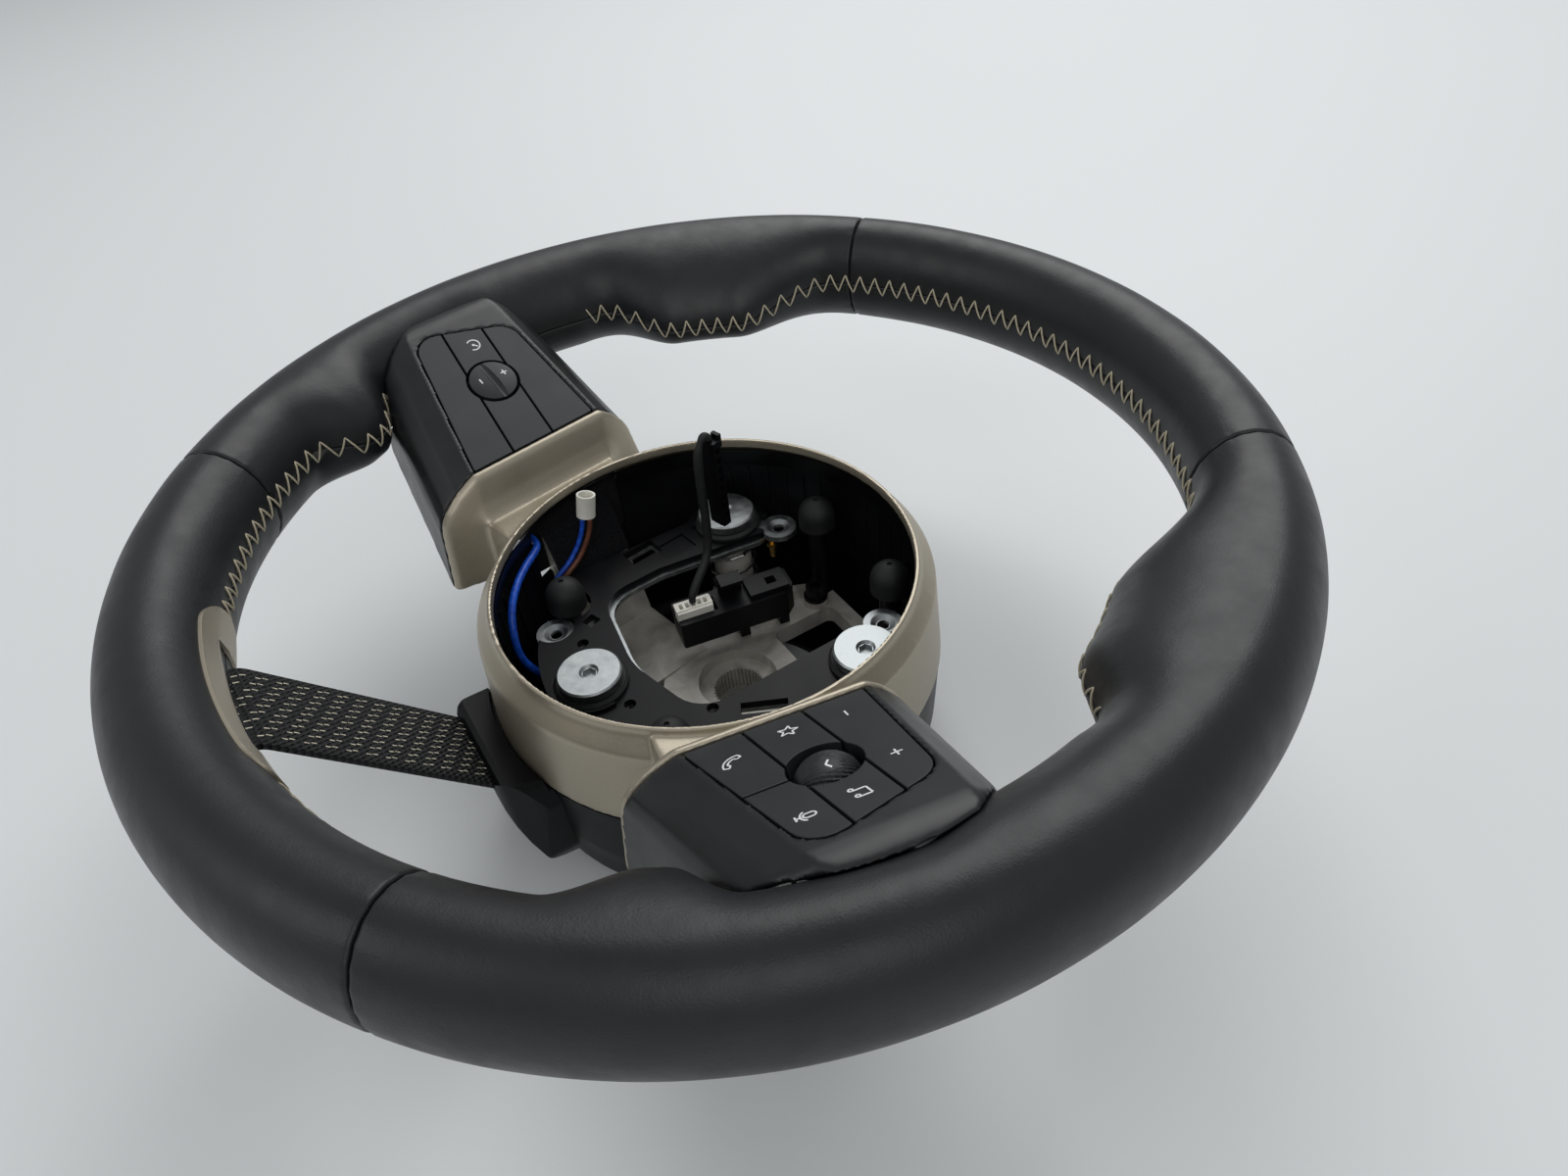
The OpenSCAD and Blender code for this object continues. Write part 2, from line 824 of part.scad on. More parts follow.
module bezel_profile() {
    polygon([[bezel_r, bezel_low_z], [bezel_slope_r, bezel_slope_z], [lip_r + 1.3, lip_z - 2.6],
        [lip_r + 0.8, lip_z - 0.7], [lip_r, lip_z], [lip_r - 0.7, lip_z - 0.5],
        [lip_in_r, lip_z - 3.6], [lip_r + 0.6, lip_z - 4.4],
        [bezel_slope_r - bezel_wall, bezel_slope_z - 1], [bezel_r - bezel_wall, bezel_low_z]]);
}

// Neck section where a cap leaves the ring, and its blend into the spoke's own section
neck_near = -31.5;
neck_far = 24;
neck_drop = 16.5;
cap_gap = 0.3;

function mix(a, b, t) = [for (i = [0 : len(a) - 1]) a[i] * (1 - t) + b[i] * t];

function neck_ring(s, inset) =
    let (low = [[0, 0], [0.3, 0.5], [0.6, 1.4], [0.8, 3], [1, 6], [1.5, spoke_depth - neck_drop]],
         top = -neck_drop - inset)
    concat([for (i = [5 : -1 : 0]) [s, neck_near - low[i][0] + inset, top - low[i][1]]],
           [for (i = [0 : 5]) [s, neck_far + low[i][0] - inset, top - low[i][1]]]);

function cap_ring(s, t, inset, lift) =
    let (neck = neck_ring(s, inset),
         end = spoke_ring(s, near_edge(0), far_edge(0), -inset + lift, inset, 0, spoke_depth + lift))
    [for (i = [0 : len(neck) - 1]) mix(neck[i], end[i], t)];

// Place and share of the full section: a hollow sweep up to a rolled edge
cap_stations = [[-24, 0, 0], [-9.5, 0, 0], [-8, 0.16, 0], [-6.3, 0.4, 0], [-4.8, 0.7, 0], [-3.6, 0.92, 0],
                [-2.6, 1, 0.1], [-1.4, 1, 0.4], [-cap_gap, 1, 0.2]];

module cap_outer() {
    loft([for (c = cap_stations) cap_ring(c[0], c[1], 0, c[2])]);
}

module cap_cavity() {
    loft([for (c = [[-30, 0], [-9.5, 0], [-8, 0.1], [-6.3, 0.32], [-4.8, 0.6], [-3.6, 0.84], [-2.2, 1], [1, 1]])
        [for (p = cap_ring(c[0], c[1], bezel_wall, 0))
            [p[0], p[1], p[2] < -spoke_depth + 4 ? p[2] - 6 : p[2]]]]);
}

module hub_bezel() {
    color("#b5aa8c")
        difference() {
            union() {
                translate([0, hub_y, 0])
                    rotate_extrude($fn = 128)
                        bezel_profile();
                for (side = [-1, 1])
                    difference() {
                        pod_frame(side) cap_outer();
                        translate([0, hub_y, 0])
                            rotate_extrude($fn = 128)
                                polygon([[0, 0], [bezel_r - bezel_wall, 0], [bezel_r - bezel_wall, bezel_low_z],
                                    [bezel_slope_r - bezel_wall, bezel_slope_z - 1], [lip_r + 0.6, lip_z - 4.4],
                                    [lip_in_r, lip_z - 3.6], [lip_in_r, lip_z + 30], [0, lip_z + 30]]);
                    }
            }
            for (side = [-1, 1])
                pod_frame(side) cap_cavity();
        }
}

// Back cover: cup, liner, bumper posts and the pocket for the strap

bumper_places = [[-42, -45.7], [42, -45.7], [-24, 55.5], [24, 55.5]];
bumper_low_z = 58;
bumper_post_r = 4;
cover_top_z = bezel_low_z - fit_gap;

cover_turn_r = bezel_r - 12.5;
cover_turn = 9;
cover_skin = 2.6;

module cover_profile() {
    inner = cover_turn - cover_skin;
    outer_turn = [for (a = [-90 : 15 : 0]) [cover_turn_r + cover_turn * cos(a), cover_turn * (1 + sin(a))]];
    inner_turn = [for (a = [0 : -15 : -90]) [cover_turn_r + inner * cos(a), cover_turn + inner * sin(a)]];
    wall_r = liner_r + cover_wall;
    polygon(concat([[cover_hole_r, 0]], outer_turn,
        [[bezel_r - 1.5, 24], [bezel_r - 0.3, cover_top_z], [wall_r, cover_top_z], [wall_r, lip_z - 13.4],
         [lip_r + 0.2, lip_z - 5.2], [lip_r - 1, lip_z - 4.6], [liner_r, lip_z - 13.9], [liner_r, 40],
         [bezel_r - 4, 37], [bezel_r - 4.1, 24]],
        inner_turn, [[cover_hole_r, cover_skin]]));
}

// Pocket that the strap runs into: its side view, plan and front view meet in one bulge
chin_low_half_w = 19;
chin_half_w = 28;

module chin() {
    back = hub_y - bezel_r;
    difference() {
        intersection() {
            rotate([90, 0, 90])
                linear_extrude(3 * chin_half_w, center = true)
                    polygon(concat([[hub_y - 60, 0.5]],
                        [for (t = [0 : 0.125 : 1]) chin_curve(t)],
                        [[back - 10.6, 54.8], [back - 9.2, 56], [back - 7.4, 56], [hub_y - 60, 50]]));
            linear_extrude(60)
                polygon(rounded([[-chin_half_w, hub_y - 60], [-chin_half_w - 3, back + 3], [-chin_low_half_w, back - 11.4],
                    [chin_low_half_w, back - 11.4], [chin_half_w + 3, back + 3], [chin_half_w, hub_y - 60]],
                    [1, 14, 9, 9, 14, 1]));
            rotate([90, 0, 0])
                linear_extrude(120)
                    polygon(rounded([[-chin_low_half_w + 3, -1], [-chin_half_w + 3, 14], [-chin_half_w - 1, 45],
                        [-chin_low_half_w - 4, 58], [chin_low_half_w + 4, 58], [chin_half_w + 1, 45],
                        [chin_half_w - 3, 14], [chin_low_half_w - 3, -1]], [1, 12, 10, 10, 10, 10, 12, 1]));
        }
        translate([0, hub_y, 0])
            rotate_extrude($fn = 128)
                polygon([[0, cover_skin / 2], [cover_turn_r, cover_skin / 2],
                    [cover_turn_r + 5, 4], [cover_turn_r + cover_turn - cover_skin / 2, cover_turn],
                    [bezel_r - 3, 24], [bezel_r - 2.5, cover_top_z], [bezel_r + 0.9, cover_top_z],
                    [bezel_r + 0.9, 70], [0, 70]]);
    }
}

// Side view of the bulge, from its lower edge up to its widest place
function chin_curve(t) =
    let (a = 90 * t) [hub_y - bezel_r + 9 - 20.2 * pow(sin(a), 1.1), 1 + 47 * (1 - pow(cos(a), 1.15))];

module back_cover() {
    color("#1b1c1e")
        difference() {
            union() {
                translate([0, hub_y, 0])
                    rotate_extrude($fn = 128)
                        cover_profile();
                chin();
                for (p = bumper_places)
                    translate([p[0], p[1], 1])
                        cylinder(h = bumper_low_z - 1, r = bumper_post_r);
            }
            strap_slot();
            arm(1, arm_room);
            arm(-1, arm_room);
            for (side = [-1, 1])
                pod_frame(side)
                    translate([-40, -22, -46])
                        cube([40, 44, 26]);
        }
}

// Armature: one casting with boss, floor, damper posts, two arms and the rim core

damper_angles = [-90, 30, 150];
post_top_z = 49;
sleeve_r = 5.5;
window_x = 12.5;
window_low_y = 24;
window_high_y = 52;
ring_s = 79;

// Side view of an arm in the frame of its switch plate
function arm_line() =
    [[-70, floor_top_z - floor_t / 2 - pod_z], [-28, floor_top_z - floor_t / 2 - pod_z],
     [-12, -8 * rise_slope - arm_sink - 2], [-2, -2 * rise_slope - arm_sink],
     [66, 66 * rise_slope - arm_sink], [ring_s, rim_plane_z - pod_z]];

module arm(side, grow) {
    pod_frame(side)
        intersection() {
            rotate([90, 0, 0])
                linear_extrude(arm_w + 2 * grow, center = true)
                    polygon(band(arm_line(), arm_t + 2 * grow));
            translate([-68, -arm_w, -pod_z])
                cube([68 + ring_s, 2 * arm_w, 2 * pod_z]);
        }
}

module core_ring(grow) {
    translate([0, 0, rim_plane_z])
        rotate_extrude($fn = 128)
            translate([rim_r, 0])
                circle(core_r + grow, $fn = 32);
}

module floor_plan() {
    difference() {
        union() {
            circle(boss_r + 8);
            for (a = damper_angles)
                rotate([0, 0, a]) {
                    translate([0, -10])
                        square([damper_ring_r, 20]);
                    translate([damper_ring_r, 0])
                        circle(post_r + 2);
                }
            polygon([[-20, 10], [20, 10], [22, 46], [16, 58], [-26, 58], [-32, 46]]);
        }
        for (p = bumper_places)
            translate(p)
                circle(bumper_post_r + 1);
        polygon(rounded([[-window_x, window_low_y], [window_x, window_low_y], [window_x, window_high_y],
            [-window_x, window_high_y]], [3, 3, 8, 3]));
    }
}

module armature() {
    seat_r = 15.5;
    spline_count = 40;
    spline_depth = 0.7;
    land = 6;
    color("#8f918d")
        difference() {
            union() {
                translate([0, 0, floor_top_z - floor_t])
                    linear_extrude(floor_t)
                        floor_plan();
                translate([0, 0, 3])
                    cylinder(h = floor_top_z - 3, r = boss_r);
                for (a = damper_angles)
                    rotate([0, 0, a])
                        translate([damper_ring_r, 0, floor_top_z - floor_t])
                            cylinder(h = post_top_z - floor_top_z + floor_t, r = post_r);
                // Rib beside the boss and the pad of the screw
                translate([-27, 8, floor_top_z - 0.5])
                    cube([3, 36, 5]);
                translate([screw_x, screw_y, floor_top_z - 1])
                    cylinder(h = screw_pad + 1, r = 5.2);
                arm(1, 0);
                arm(-1, 0);
                core_ring(0);
            }
            // Turned seat of the boss and the column bore under its splines
            translate([0, 0, boss_seat_z])
                cylinder(h = 20, r = seat_r);
            cylinder(h = 60, r = bore_r, center = true);
            translate([0, 0, 3 + land])
                linear_extrude(boss_seat_z)
                    for (i = [0 : spline_count - 1])
                        rotate([0, 0, 360 * i / spline_count])
                            polygon([[bore_r - 1, -0.5], [bore_r + spline_depth, -0.25],
                                [bore_r + spline_depth, 0.25], [bore_r - 1, 0.5]]);
            for (a = damper_angles)
                rotate([0, 0, a])
                    translate([damper_ring_r, 0, floor_top_z])
                        cylinder(h = 60, r = 4.1);
            for (side = [-1, 1])
                plate_frame(side)
                    for (p = screw_places)
                        translate([p[0], p[1], arm_top_w - 1.5 * arm_t])
                            cylinder(h = 2 * arm_t, r = housing_screw_r + 0.2, $fn = 32);
            translate([screw_x, screw_y, floor_top_z - 5])
                cylinder(h = 20, r = 2.6, $fn = 32);
        }
}

screw_x = -17.6;
screw_y = 48.5;
screw_pad = 3;

module armature_screw() {
    color("#3b3d3f")
        translate([screw_x, screw_y, floor_top_z + screw_pad])
            difference() {
                union() {
                    cylinder(h = 1.2, r = 5);
                    cylinder(h = 6, r = 4);
                    translate([0, 0, -6])
                        cylinder(h = 6.5, r = 2.5, $fn = 32);
                }
                translate([0, 0, 3.2])
                    cylinder(h = 6, r = 2.3, $fn = 6);
            }
}

// Carrier: an overmoulded steel horseshoe on three rubber dampers

lug_places = [[-35.3, 44], [34.5, 44.5], [-34, -54.8]];
lug_r = 7.2;
lug_root_w = 9;
lug_rise = 0.5;
groove_r = ring_r - 1;

// A straight bar between two points in plan
module bar(a, b, w) {
    side = unit([a[1] - b[1], b[0] - a[0]]) * w / 2;
    polygon([a + side, b + side, b - side, a - side]);
}

// Bare steel tabs: an eye at the tip and, on the upper two, a waist towards the damper
module lug_eyes(r) {
    for (p = lug_places)
        translate(p)
            circle(r);
}

module lug_waists() {
    for (x = [0, 1])
        bar(damper_ring_r * [(2 * x - 1) * cos(30), sin(30)], lug_places[x], lug_root_w);
}

// Corners of the carrier's inner edge
carrier_in_corners = [[-carrier_in_x + 6, 70], [-carrier_in_x - 5, -8], [-carrier_in_x - 3.5, -carrier_in_y + 6],
    [0, -carrier_in_y], [carrier_in_x - 0.5, -carrier_in_y + 8.5], [carrier_in_x - 2.5, 70]];
carrier_in_radii = [1, 20, 13, 30, 14, 1];

module carrier_plan(in_grow) {
    difference() {
        union() {
            intersection() {
                difference() {
                    translate([0, -4])
                        circle(carrier_out_r);
                    translate([-80, 24])
                        square([160, 60]);
                }
                translate([-57.5, -80])
                    square([115, 160]);
            }
            for (x = [-1, 1])
                translate([x * damper_ring_r * cos(30), damper_ring_r * sin(30)])
                    circle(ring_r + 3.4);
        }
        polygon(rounded(grown(carrier_in_corners, -in_grow), carrier_in_radii));
        for (p = bumper_places)
            translate(p)
                circle(bumper_r + 1.4);
    }
}

module damper_holes(r) {
    for (a = damper_angles)
        rotate([0, 0, a])
            translate([damper_ring_r, 0])
                circle(r);
}

module carrier_holes() {
    for (p = [[-20, -49.5], [16.5, -48.5], [34.8, -26.5]])
        translate(p)
            circle(2.1, $fn = 32);
    translate([-29, -42])
        rotate([0, 0, 20])
            square(5, center = true);
    translate([-52.5, -9])
        rotate([0, 0, 98])
            square([13, 8], center = true);
    translate([44.5, -12])
        rotate([0, 0, 62])
            square([16, 5], center = true);
}

module carrier_steel() {
    eye_r = 2.2;
    dish_r = 4.6;
    dish_depth = 0.6 * steel_t;
    color("#b9bfc0")
        difference() {
            union() {
                translate([0, 0, carrier_z])
                    linear_extrude(steel_t)
                        difference() {
                            union() {
                                carrier_plan(1.4);
                                lug_eyes(lug_r);
                                lug_waists();
                            }
                            damper_holes(groove_r + 0.2);
                            carrier_holes();
                        }
                translate([0, 0, carrier_z + 0.5])
                    linear_extrude(steel_t - 0.5 + lug_rise)
                        lug_eyes(lug_r);
            }
            for (p = lug_places)
                translate([p[0], p[1], carrier_z - 1]) {
                    cylinder(h = 12, r = eye_r);
                    translate([0, 0, 1 + steel_t + lug_rise - dish_depth])
                        cylinder(h = dish_depth + 0.01, r1 = eye_r + 0.4, r2 = dish_r);
                }
        }
}

module carrier_plate() {
    low = carrier_z + steel_t;
    color("#26282a")
        difference() {
            union() {
                translate([0, 0, low])
                    linear_extrude(mould_t)
                        difference() {
                            carrier_plan(0);
                            damper_holes(groove_r + 0.2);
                            carrier_holes();
                        }
                // Collars round the outer sides of the dampers
                for (a = damper_angles)
                    rotate([0, 0, a])
                        translate([damper_ring_r, 0, low + 0.5])
                            rotate([0, 0, -100])
                                rotate_extrude(angle = 200)
                                    translate([ring_r + fit_gap, 0])
                                        square([1.2, mould_t + 1]);
            }
            translate([0, 0, low - 1])
                linear_extrude(12)
                    union() {
                        lug_eyes(lug_r + fit_gap);
                        lug_waists();
                        bar(lug_places[2], [-49, -60.5], 12);
                    }
            // Recess in the left arm
            translate([-45.5, 3, low + mould_t - 0.9])
                rotate([0, 0, 8])
                    translate([-6.5, -7, 0])
                        cube([10, 14, 4]);
        }
}

module damper_rings() {
    low = carrier_z - 1.5;
    under = carrier_z - 0.2;
    over = carrier_z + steel_t + mould_t + 0.2;
    high = over + 2.2;
    color("#141516")
        for (a = damper_angles)
            rotate([0, 0, a])
                translate([damper_ring_r, 0, 0])
                    rotate_extrude()
                        polygon([[sleeve_r + 0.08, low], [ring_r - 0.8, low], [ring_r, low + 0.5],
                            [ring_r, under], [groove_r, under], [groove_r, over], [ring_r, over],
                            [ring_r, high - 1], [ring_r - 1, high], [sleeve_r + 0.08, high]]);
}

module damper_bolts() {
    head_low = carrier_z + steel_t + mould_t + 2.8;
    head_t = 3.4;
    color("#cfd3d2")
        for (a = damper_angles)
            rotate([0, 0, a])
                translate([damper_ring_r, 0, 0])
                    difference() {
                        union() {
                            translate([0, 0, head_low])
                                cylinder(h = head_t - 0.6, r = disc_r);
                            translate([0, 0, head_low + head_t - 0.6])
                                cylinder(h = 0.6, r1 = disc_r, r2 = disc_r - 0.6);
                            translate([0, 0, floor_top_z + 6])
                                cylinder(h = head_low - floor_top_z - 5.9, r = 4);
                            translate([0, 0, post_top_z])
                                cylinder(h = head_low - post_top_z, r = sleeve_r);
                        }
                        translate([0, 0, head_low + 0.6])
                            cylinder(h = head_t, r = 2.6, $fn = 6);
                        translate([0, 0, head_low + head_t - 1])
                            cylinder(h = 1.2, r1 = 2.6, r2 = 3.6);
                    }
}

// Springs that lift the carrier, one round each damper post
spring_turns = 3;
spring_r = 9.9;
spring_wire_r = 0.7;

function spring_ring(t, low, high) =
    let (a = 360 * spring_turns * t, z = low + (high - low) * t)
    [for (k = [0 : 5]) let (c = cos(60 * k) * spring_wire_r)
        [(spring_r + c) * cos(a), (spring_r + c) * sin(a), z + sin(60 * k) * spring_wire_r]];

module horn_springs() {
    low = floor_top_z + spring_wire_r + 0.2;
    high = carrier_z - 1.5 - spring_wire_r - fit_gap;
    steps = 12 * spring_turns;
    color("#9a9c9e")
        for (a = damper_angles)
            rotate([0, 0, a])
                translate([damper_ring_r, 0, 0])
                    loft([for (i = [0 : steps]) spring_ring(i / steps, low, high)]);
}

module contact_pin() {
    color("#b08d4c")
        translate([lug_places[0][0] + 2, lug_places[0][1] - 4.8, carrier_z - 9])
            union() {
                cylinder(h = 9, r = 1.3, $fn = 32);
                translate([0, 0, 5.5])
                    cylinder(h = 1.5, r = 2.2, $fn = 32);
            }
}

module bumper_domes() {
    neck = 5;
    color("#1d1e20")
        for (p = bumper_places)
            translate([p[0], p[1], bumper_low_z + 0.2])
                difference() {
                    union() {
                        cylinder(h = neck, r = bumper_r);
                        intersection() {
                            translate([0, 0, neck])
                                sphere(bumper_r);
                            cylinder(h = 2 * bumper_r, r = bumper_r + 1);
                        }
                    }
                    translate([0, 0, bumper_tip_z - bumper_low_z - 1.6])
                        cylinder(h = 3, r = 1, $fn = 24);
                    translate([0, 0, bumper_tip_z - bumper_low_z - 0.4])
                        cylinder(h = 10, r = 20);
                }
}

// Electrics on the armature

box_turn = 79;
box_x = -15.3;
box_y = 18.3;
box_low_z = floor_top_z + 13.2;
box_h = 12;
box_end = 16;

module box_frame() {
    translate([box_x, box_y, 0]) rotate([0, 0, box_turn]) children();
}

module control_box() {
    color("#1c1e20")
        box_frame()
            translate([0, 0, box_low_z])
                difference() {
                    union() {
                        linear_extrude(box_h)
                            polygon(rounded([[-31, -7], [box_end - 4, -7], [box_end, -3], [box_end, 7], [-31, 7]],
                                [1, 2, 2, 1, 1]));
                        // Raised deck and latch tower on the far half
                        translate([-2, -5.5, box_h - 0.1])
                            cube([box_end, 11, 2.6]);
                        translate([-12, 3, box_h - 0.1])
                            cube([9, 3, 7.6]);
                        translate([-12, -1, box_h + 6])
                            cube([9, 7, 1.5]);
                        // Feet on the armature's floor
                        for (x = [-6, box_end - 5])
                            translate([x, 2, floor_top_z + 0.1 - box_low_z])
                                cube([4, 4.6, box_low_z - floor_top_z]);
                    }
                    translate([box_end - 8, 0, box_h + 1])
                        cube([4, 4, 4], center = true);
                    translate([-31.5, -4, box_h - 4])
                        cube([16.5, 8, 5]);
                }
}

plug_w = 14;

module board_plug() {
    color("#dcd9cc")
        box_frame()
            translate([-30.6, -3.4, box_low_z + box_h - 3.8])
                difference() {
                    union() {
                        cube([plug_w, 6.8, 6.4]);
                        translate([-0.2, 1, 4.4])
                            cube([plug_w + 0.4, 4.8, 2.6]);
                    }
                    for (i = [0 : 4])
                        translate([1.5 + 2.4 * i, 2, 4])
                            cube([1.4, 2.8, 4]);
                }
}

// A round tube with eight sides along a list of points
function tube_dir(line, i) = unit(line[min(len(line) - 1, i + 1)] - line[max(0, i - 1)]);

function tube_ring(line, i, r) =
    let (d = tube_dir(line, i),
         side = unit(cross(d, abs(d[2]) < 0.9 ? [0, 0, 1] : [1, 0, 0])),
         up = cross(side, d))
    [for (k = [0 : 7]) line[i] + r * (cos(45 * k) * side + sin(45 * k) * up)];

module lead(line, r) {
    loft([for (i = [0 : len(line) - 1]) tube_ring(line, i, r)]);
}

// Lead that rises from the board plug through the clip and turns over into the module plug
module_route = [[-19.8, -4.9, 52.6], [-19.8, -4.9, 55.5], [-21.8, -1, 59.5], [-24.6, 4.5, 63], [-26.8, 8.2, 68],
                [-27.5, 9.4, 76], [-27.7, 9.6, 92], [-27.8, 10, 107.5], [-28.1, 11.3, 112],
                [-28.6, 13.2, 115], [-29, 15, 115.6], [-29.1, 15.8, 114.6], [-29.1, 15.8, 113.1]];
module_lead_r = 1.9;
module_plug_l = 37;
module_plug_top = 113;

module module_lead() {
    color("#17181a") lead(module_route, module_lead_r);
}

module module_plug() {
    rungs = 8;
    rung_step = 4.1;
    color("#1f2022")
        translate([-29.2, 16.4, module_plug_top - module_plug_l])
            rotate([0, 0, 16])
                difference() {
                    union() {
                        translate([-3.4, -1.8, 0])
                            cube([7, 3.6, module_plug_l]);
                        translate([-0.8, -2.3, 0.5])
                            cube([3.6, 4.6, 3]);
                        translate([-0.8, 1.7, module_plug_l - 3.4])
                            cube([3.6, 1.6, 5.2]);
                    }
                    for (i = [0 : rungs - 1])
                        translate([1, -1, 3.2 + i * rung_step])
                            cube([4, 2, 2.5]);
                }
}

// Leads that come out of the left spoke
ground_route = [[-78.6, -47.9, 74], [-71.7, -46.6, 74], [-65.9, -45, 73.5], [-61.5, -45.8, 73.8], [-57.5, -49.8, 74],
                [-51, -57, 74], [-41, -65.3, 72], [-35, -69, 66], [-32, -70.4, 58], [-31, -69.5, 50],
                [-27, -64, 43], [-21, -55, 38], [-16, -46, 32]];
feed_route = [[-63, -26, 77], [-62.7, -27, 73], [-62.1, -29, 69], [-61.6, -32, 65],
              [-60.8, -36, 61.2], [-60, -40.5, 58.7], [-59.8, -44.6, 56], [-59.4, -46.5, 50],
              [-57.5, -47, 44], [-54.5, -46, 38]];
switch_route = [for (p = feed_route) p + [2.2, 2.4, 0.6]];
ground_r = 1.6;
feed_r = 1.1;

module ground_lead() {
    color("#1d4fd0") lead(ground_route, ground_r);
}

module feed_lead() {
    color("#1d4fd0") lead(feed_route, feed_r);
}

module switch_lead() {
    color("#8a5a3a") lead(switch_route, feed_r);
}

module lead_sleeve() {
    axis = unit(feed_route[0] - feed_route[1]);
    color("#d9d6c6")
        translate((feed_route[0] + switch_route[0]) / 2)
            rotate([0, acos(axis[2]), atan2(axis[1], axis[0])])
                translate([0, 0, 0.9])
                    difference() {
                        cylinder(h = 9, r = 3.6, $fn = 32);
                        translate([0, 0, 4])
                            cylinder(h = 9, r = 2.8, $fn = 32);
                    }
}

armature();
rim_foam();
leather_top();
leather_bottom();
leather_left();
leather_right();
rim_trim();
strap();
hub_bezel();
back_cover();
switch_housing_left();
switch_housing_right();
switch_board_left();
switch_board_right();
key_mat_left();
key_mat_right();
mode_key();
distance_key();
blank_key();
set_key();
speed_rocker();
speed_rocker_pin();
phone_key();
voice_key();
favourite_key();
media_key();
volume_rocker();
scroll_roller();
scroll_roller_pin();
housing_screws();
carrier_plate();
carrier_steel();
damper_rings();
damper_bolts();
horn_springs();
contact_pin();
bumper_domes();
control_box();
board_plug();
module_lead();
module_plug();
switch_lead();
lead_sleeve();
ground_lead();
feed_lead();
armature_screw();
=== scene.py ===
import json
import math

import bmesh
import bpy
from mathutils import Matrix, Vector, noise
from mathutils.bvhtree import BVHTree

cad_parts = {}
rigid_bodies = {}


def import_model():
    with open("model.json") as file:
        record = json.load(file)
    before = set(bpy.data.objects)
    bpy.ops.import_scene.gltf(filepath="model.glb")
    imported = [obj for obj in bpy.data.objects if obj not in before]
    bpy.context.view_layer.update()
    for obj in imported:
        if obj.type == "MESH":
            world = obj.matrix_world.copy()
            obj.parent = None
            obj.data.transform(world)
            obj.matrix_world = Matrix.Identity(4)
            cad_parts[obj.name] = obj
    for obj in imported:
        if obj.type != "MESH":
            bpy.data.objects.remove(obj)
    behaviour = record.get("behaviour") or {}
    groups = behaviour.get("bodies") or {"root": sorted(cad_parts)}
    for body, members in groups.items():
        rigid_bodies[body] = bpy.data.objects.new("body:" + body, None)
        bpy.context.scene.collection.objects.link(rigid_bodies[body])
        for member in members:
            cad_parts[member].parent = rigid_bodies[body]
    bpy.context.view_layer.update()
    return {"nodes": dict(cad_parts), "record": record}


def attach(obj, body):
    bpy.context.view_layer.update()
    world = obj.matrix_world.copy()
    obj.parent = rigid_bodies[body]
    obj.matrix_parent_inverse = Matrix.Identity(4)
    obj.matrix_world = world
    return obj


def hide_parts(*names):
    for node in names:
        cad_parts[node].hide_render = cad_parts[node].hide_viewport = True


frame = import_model()
nodes = frame["nodes"]
print("the packed wheel is loaded")


# Small helpers

def deselectAll():
    if bpy.context.object and bpy.context.object.mode != "OBJECT":
        bpy.ops.object.mode_set(mode="OBJECT")
    bpy.ops.object.select_all(action="DESELECT")


def activate(obj):
    deselectAll()
    obj.select_set(True)
    bpy.context.view_layer.objects.active = obj


def applyAll(obj):
    activate(obj)
    for modifier in list(obj.modifiers):
        bpy.ops.object.modifier_apply(modifier=modifier.name)


def settle(obj):
    activate(obj)
    bpy.ops.object.transform_apply(location=True, rotation=True, scale=True)


def smoothByAngle(obj, degrees):
    activate(obj)
    bpy.ops.object.shade_smooth_by_angle(angle=math.radians(degrees))


def newObject(name, data):
    obj = bpy.data.objects.new(name, data)
    bpy.context.scene.collection.objects.link(obj)
    return obj


def editWhole(obj, operation, **settings):
    # one mesh operation on all of a piece
    activate(obj)
    bpy.ops.object.mode_set(mode="EDIT")
    bpy.ops.mesh.select_all(action="SELECT")
    operation(**settings)
    bpy.ops.object.mode_set(mode="OBJECT")


def faceOutwards(obj):
    editWhole(obj, bpy.ops.mesh.normals_make_consistent, inside=False)


def mergedCopy(node, newName):
    # a CAD node is loose triangles, so its copy is merged first
    piece = newObject(newName, nodes[node].data.copy())
    editWhole(piece, bpy.ops.mesh.remove_doubles, threshold=0.000002)
    return piece


def bevelEdges(obj, width, segments, sharpAngle=30):
    edge = obj.modifiers.new("edge", "BEVEL")
    edge.width = width
    edge.segments = segments
    edge.limit_method = "ANGLE"
    edge.angle_limit = math.radians(sharpAngle)


def roundedBlock(size, radius):
    bpy.ops.mesh.primitive_cube_add(size=1)
    block = bpy.context.object
    block.scale = size
    settle(block)
    bevelEdges(block, radius, 2)
    applyAll(block)
    return block


def repeatAt(piece, places, name):
    # copies of one shape at all its places, joined to one piece
    copies = [piece] + [newObject(name + "Copy", piece.data.copy()) for place in places[1:]]
    for copy, place in zip(copies, places):
        copy.data.transform(place)
    deselectAll()
    for copy in copies:
        copy.select_set(True)
    bpy.context.view_layer.objects.active = piece
    bpy.ops.object.join()
    piece.name = name
    return piece


def camelName(node):
    # the name of a copy: the words of its CAD node run together
    first, *others = node.split("_")
    return first + "".join(word.capitalize() for word in others)


def smoothStep(t):
    t = max(0.0, min(1.0, t))
    return t * t * (3 - 2 * t)


def addNode(tree, kind, inputs=None, **settings):
    # one node with its settings, its fixed inputs and its links
    new = tree.nodes.new(kind)
    for name, value in settings.items():
        setattr(new, name, value)
    for name, value in (inputs or {}).items():
        if isinstance(value, bpy.types.NodeSocket):
            tree.links.new(value, new.inputs[name])
        else:
            new.inputs[name].default_value = value
    return new


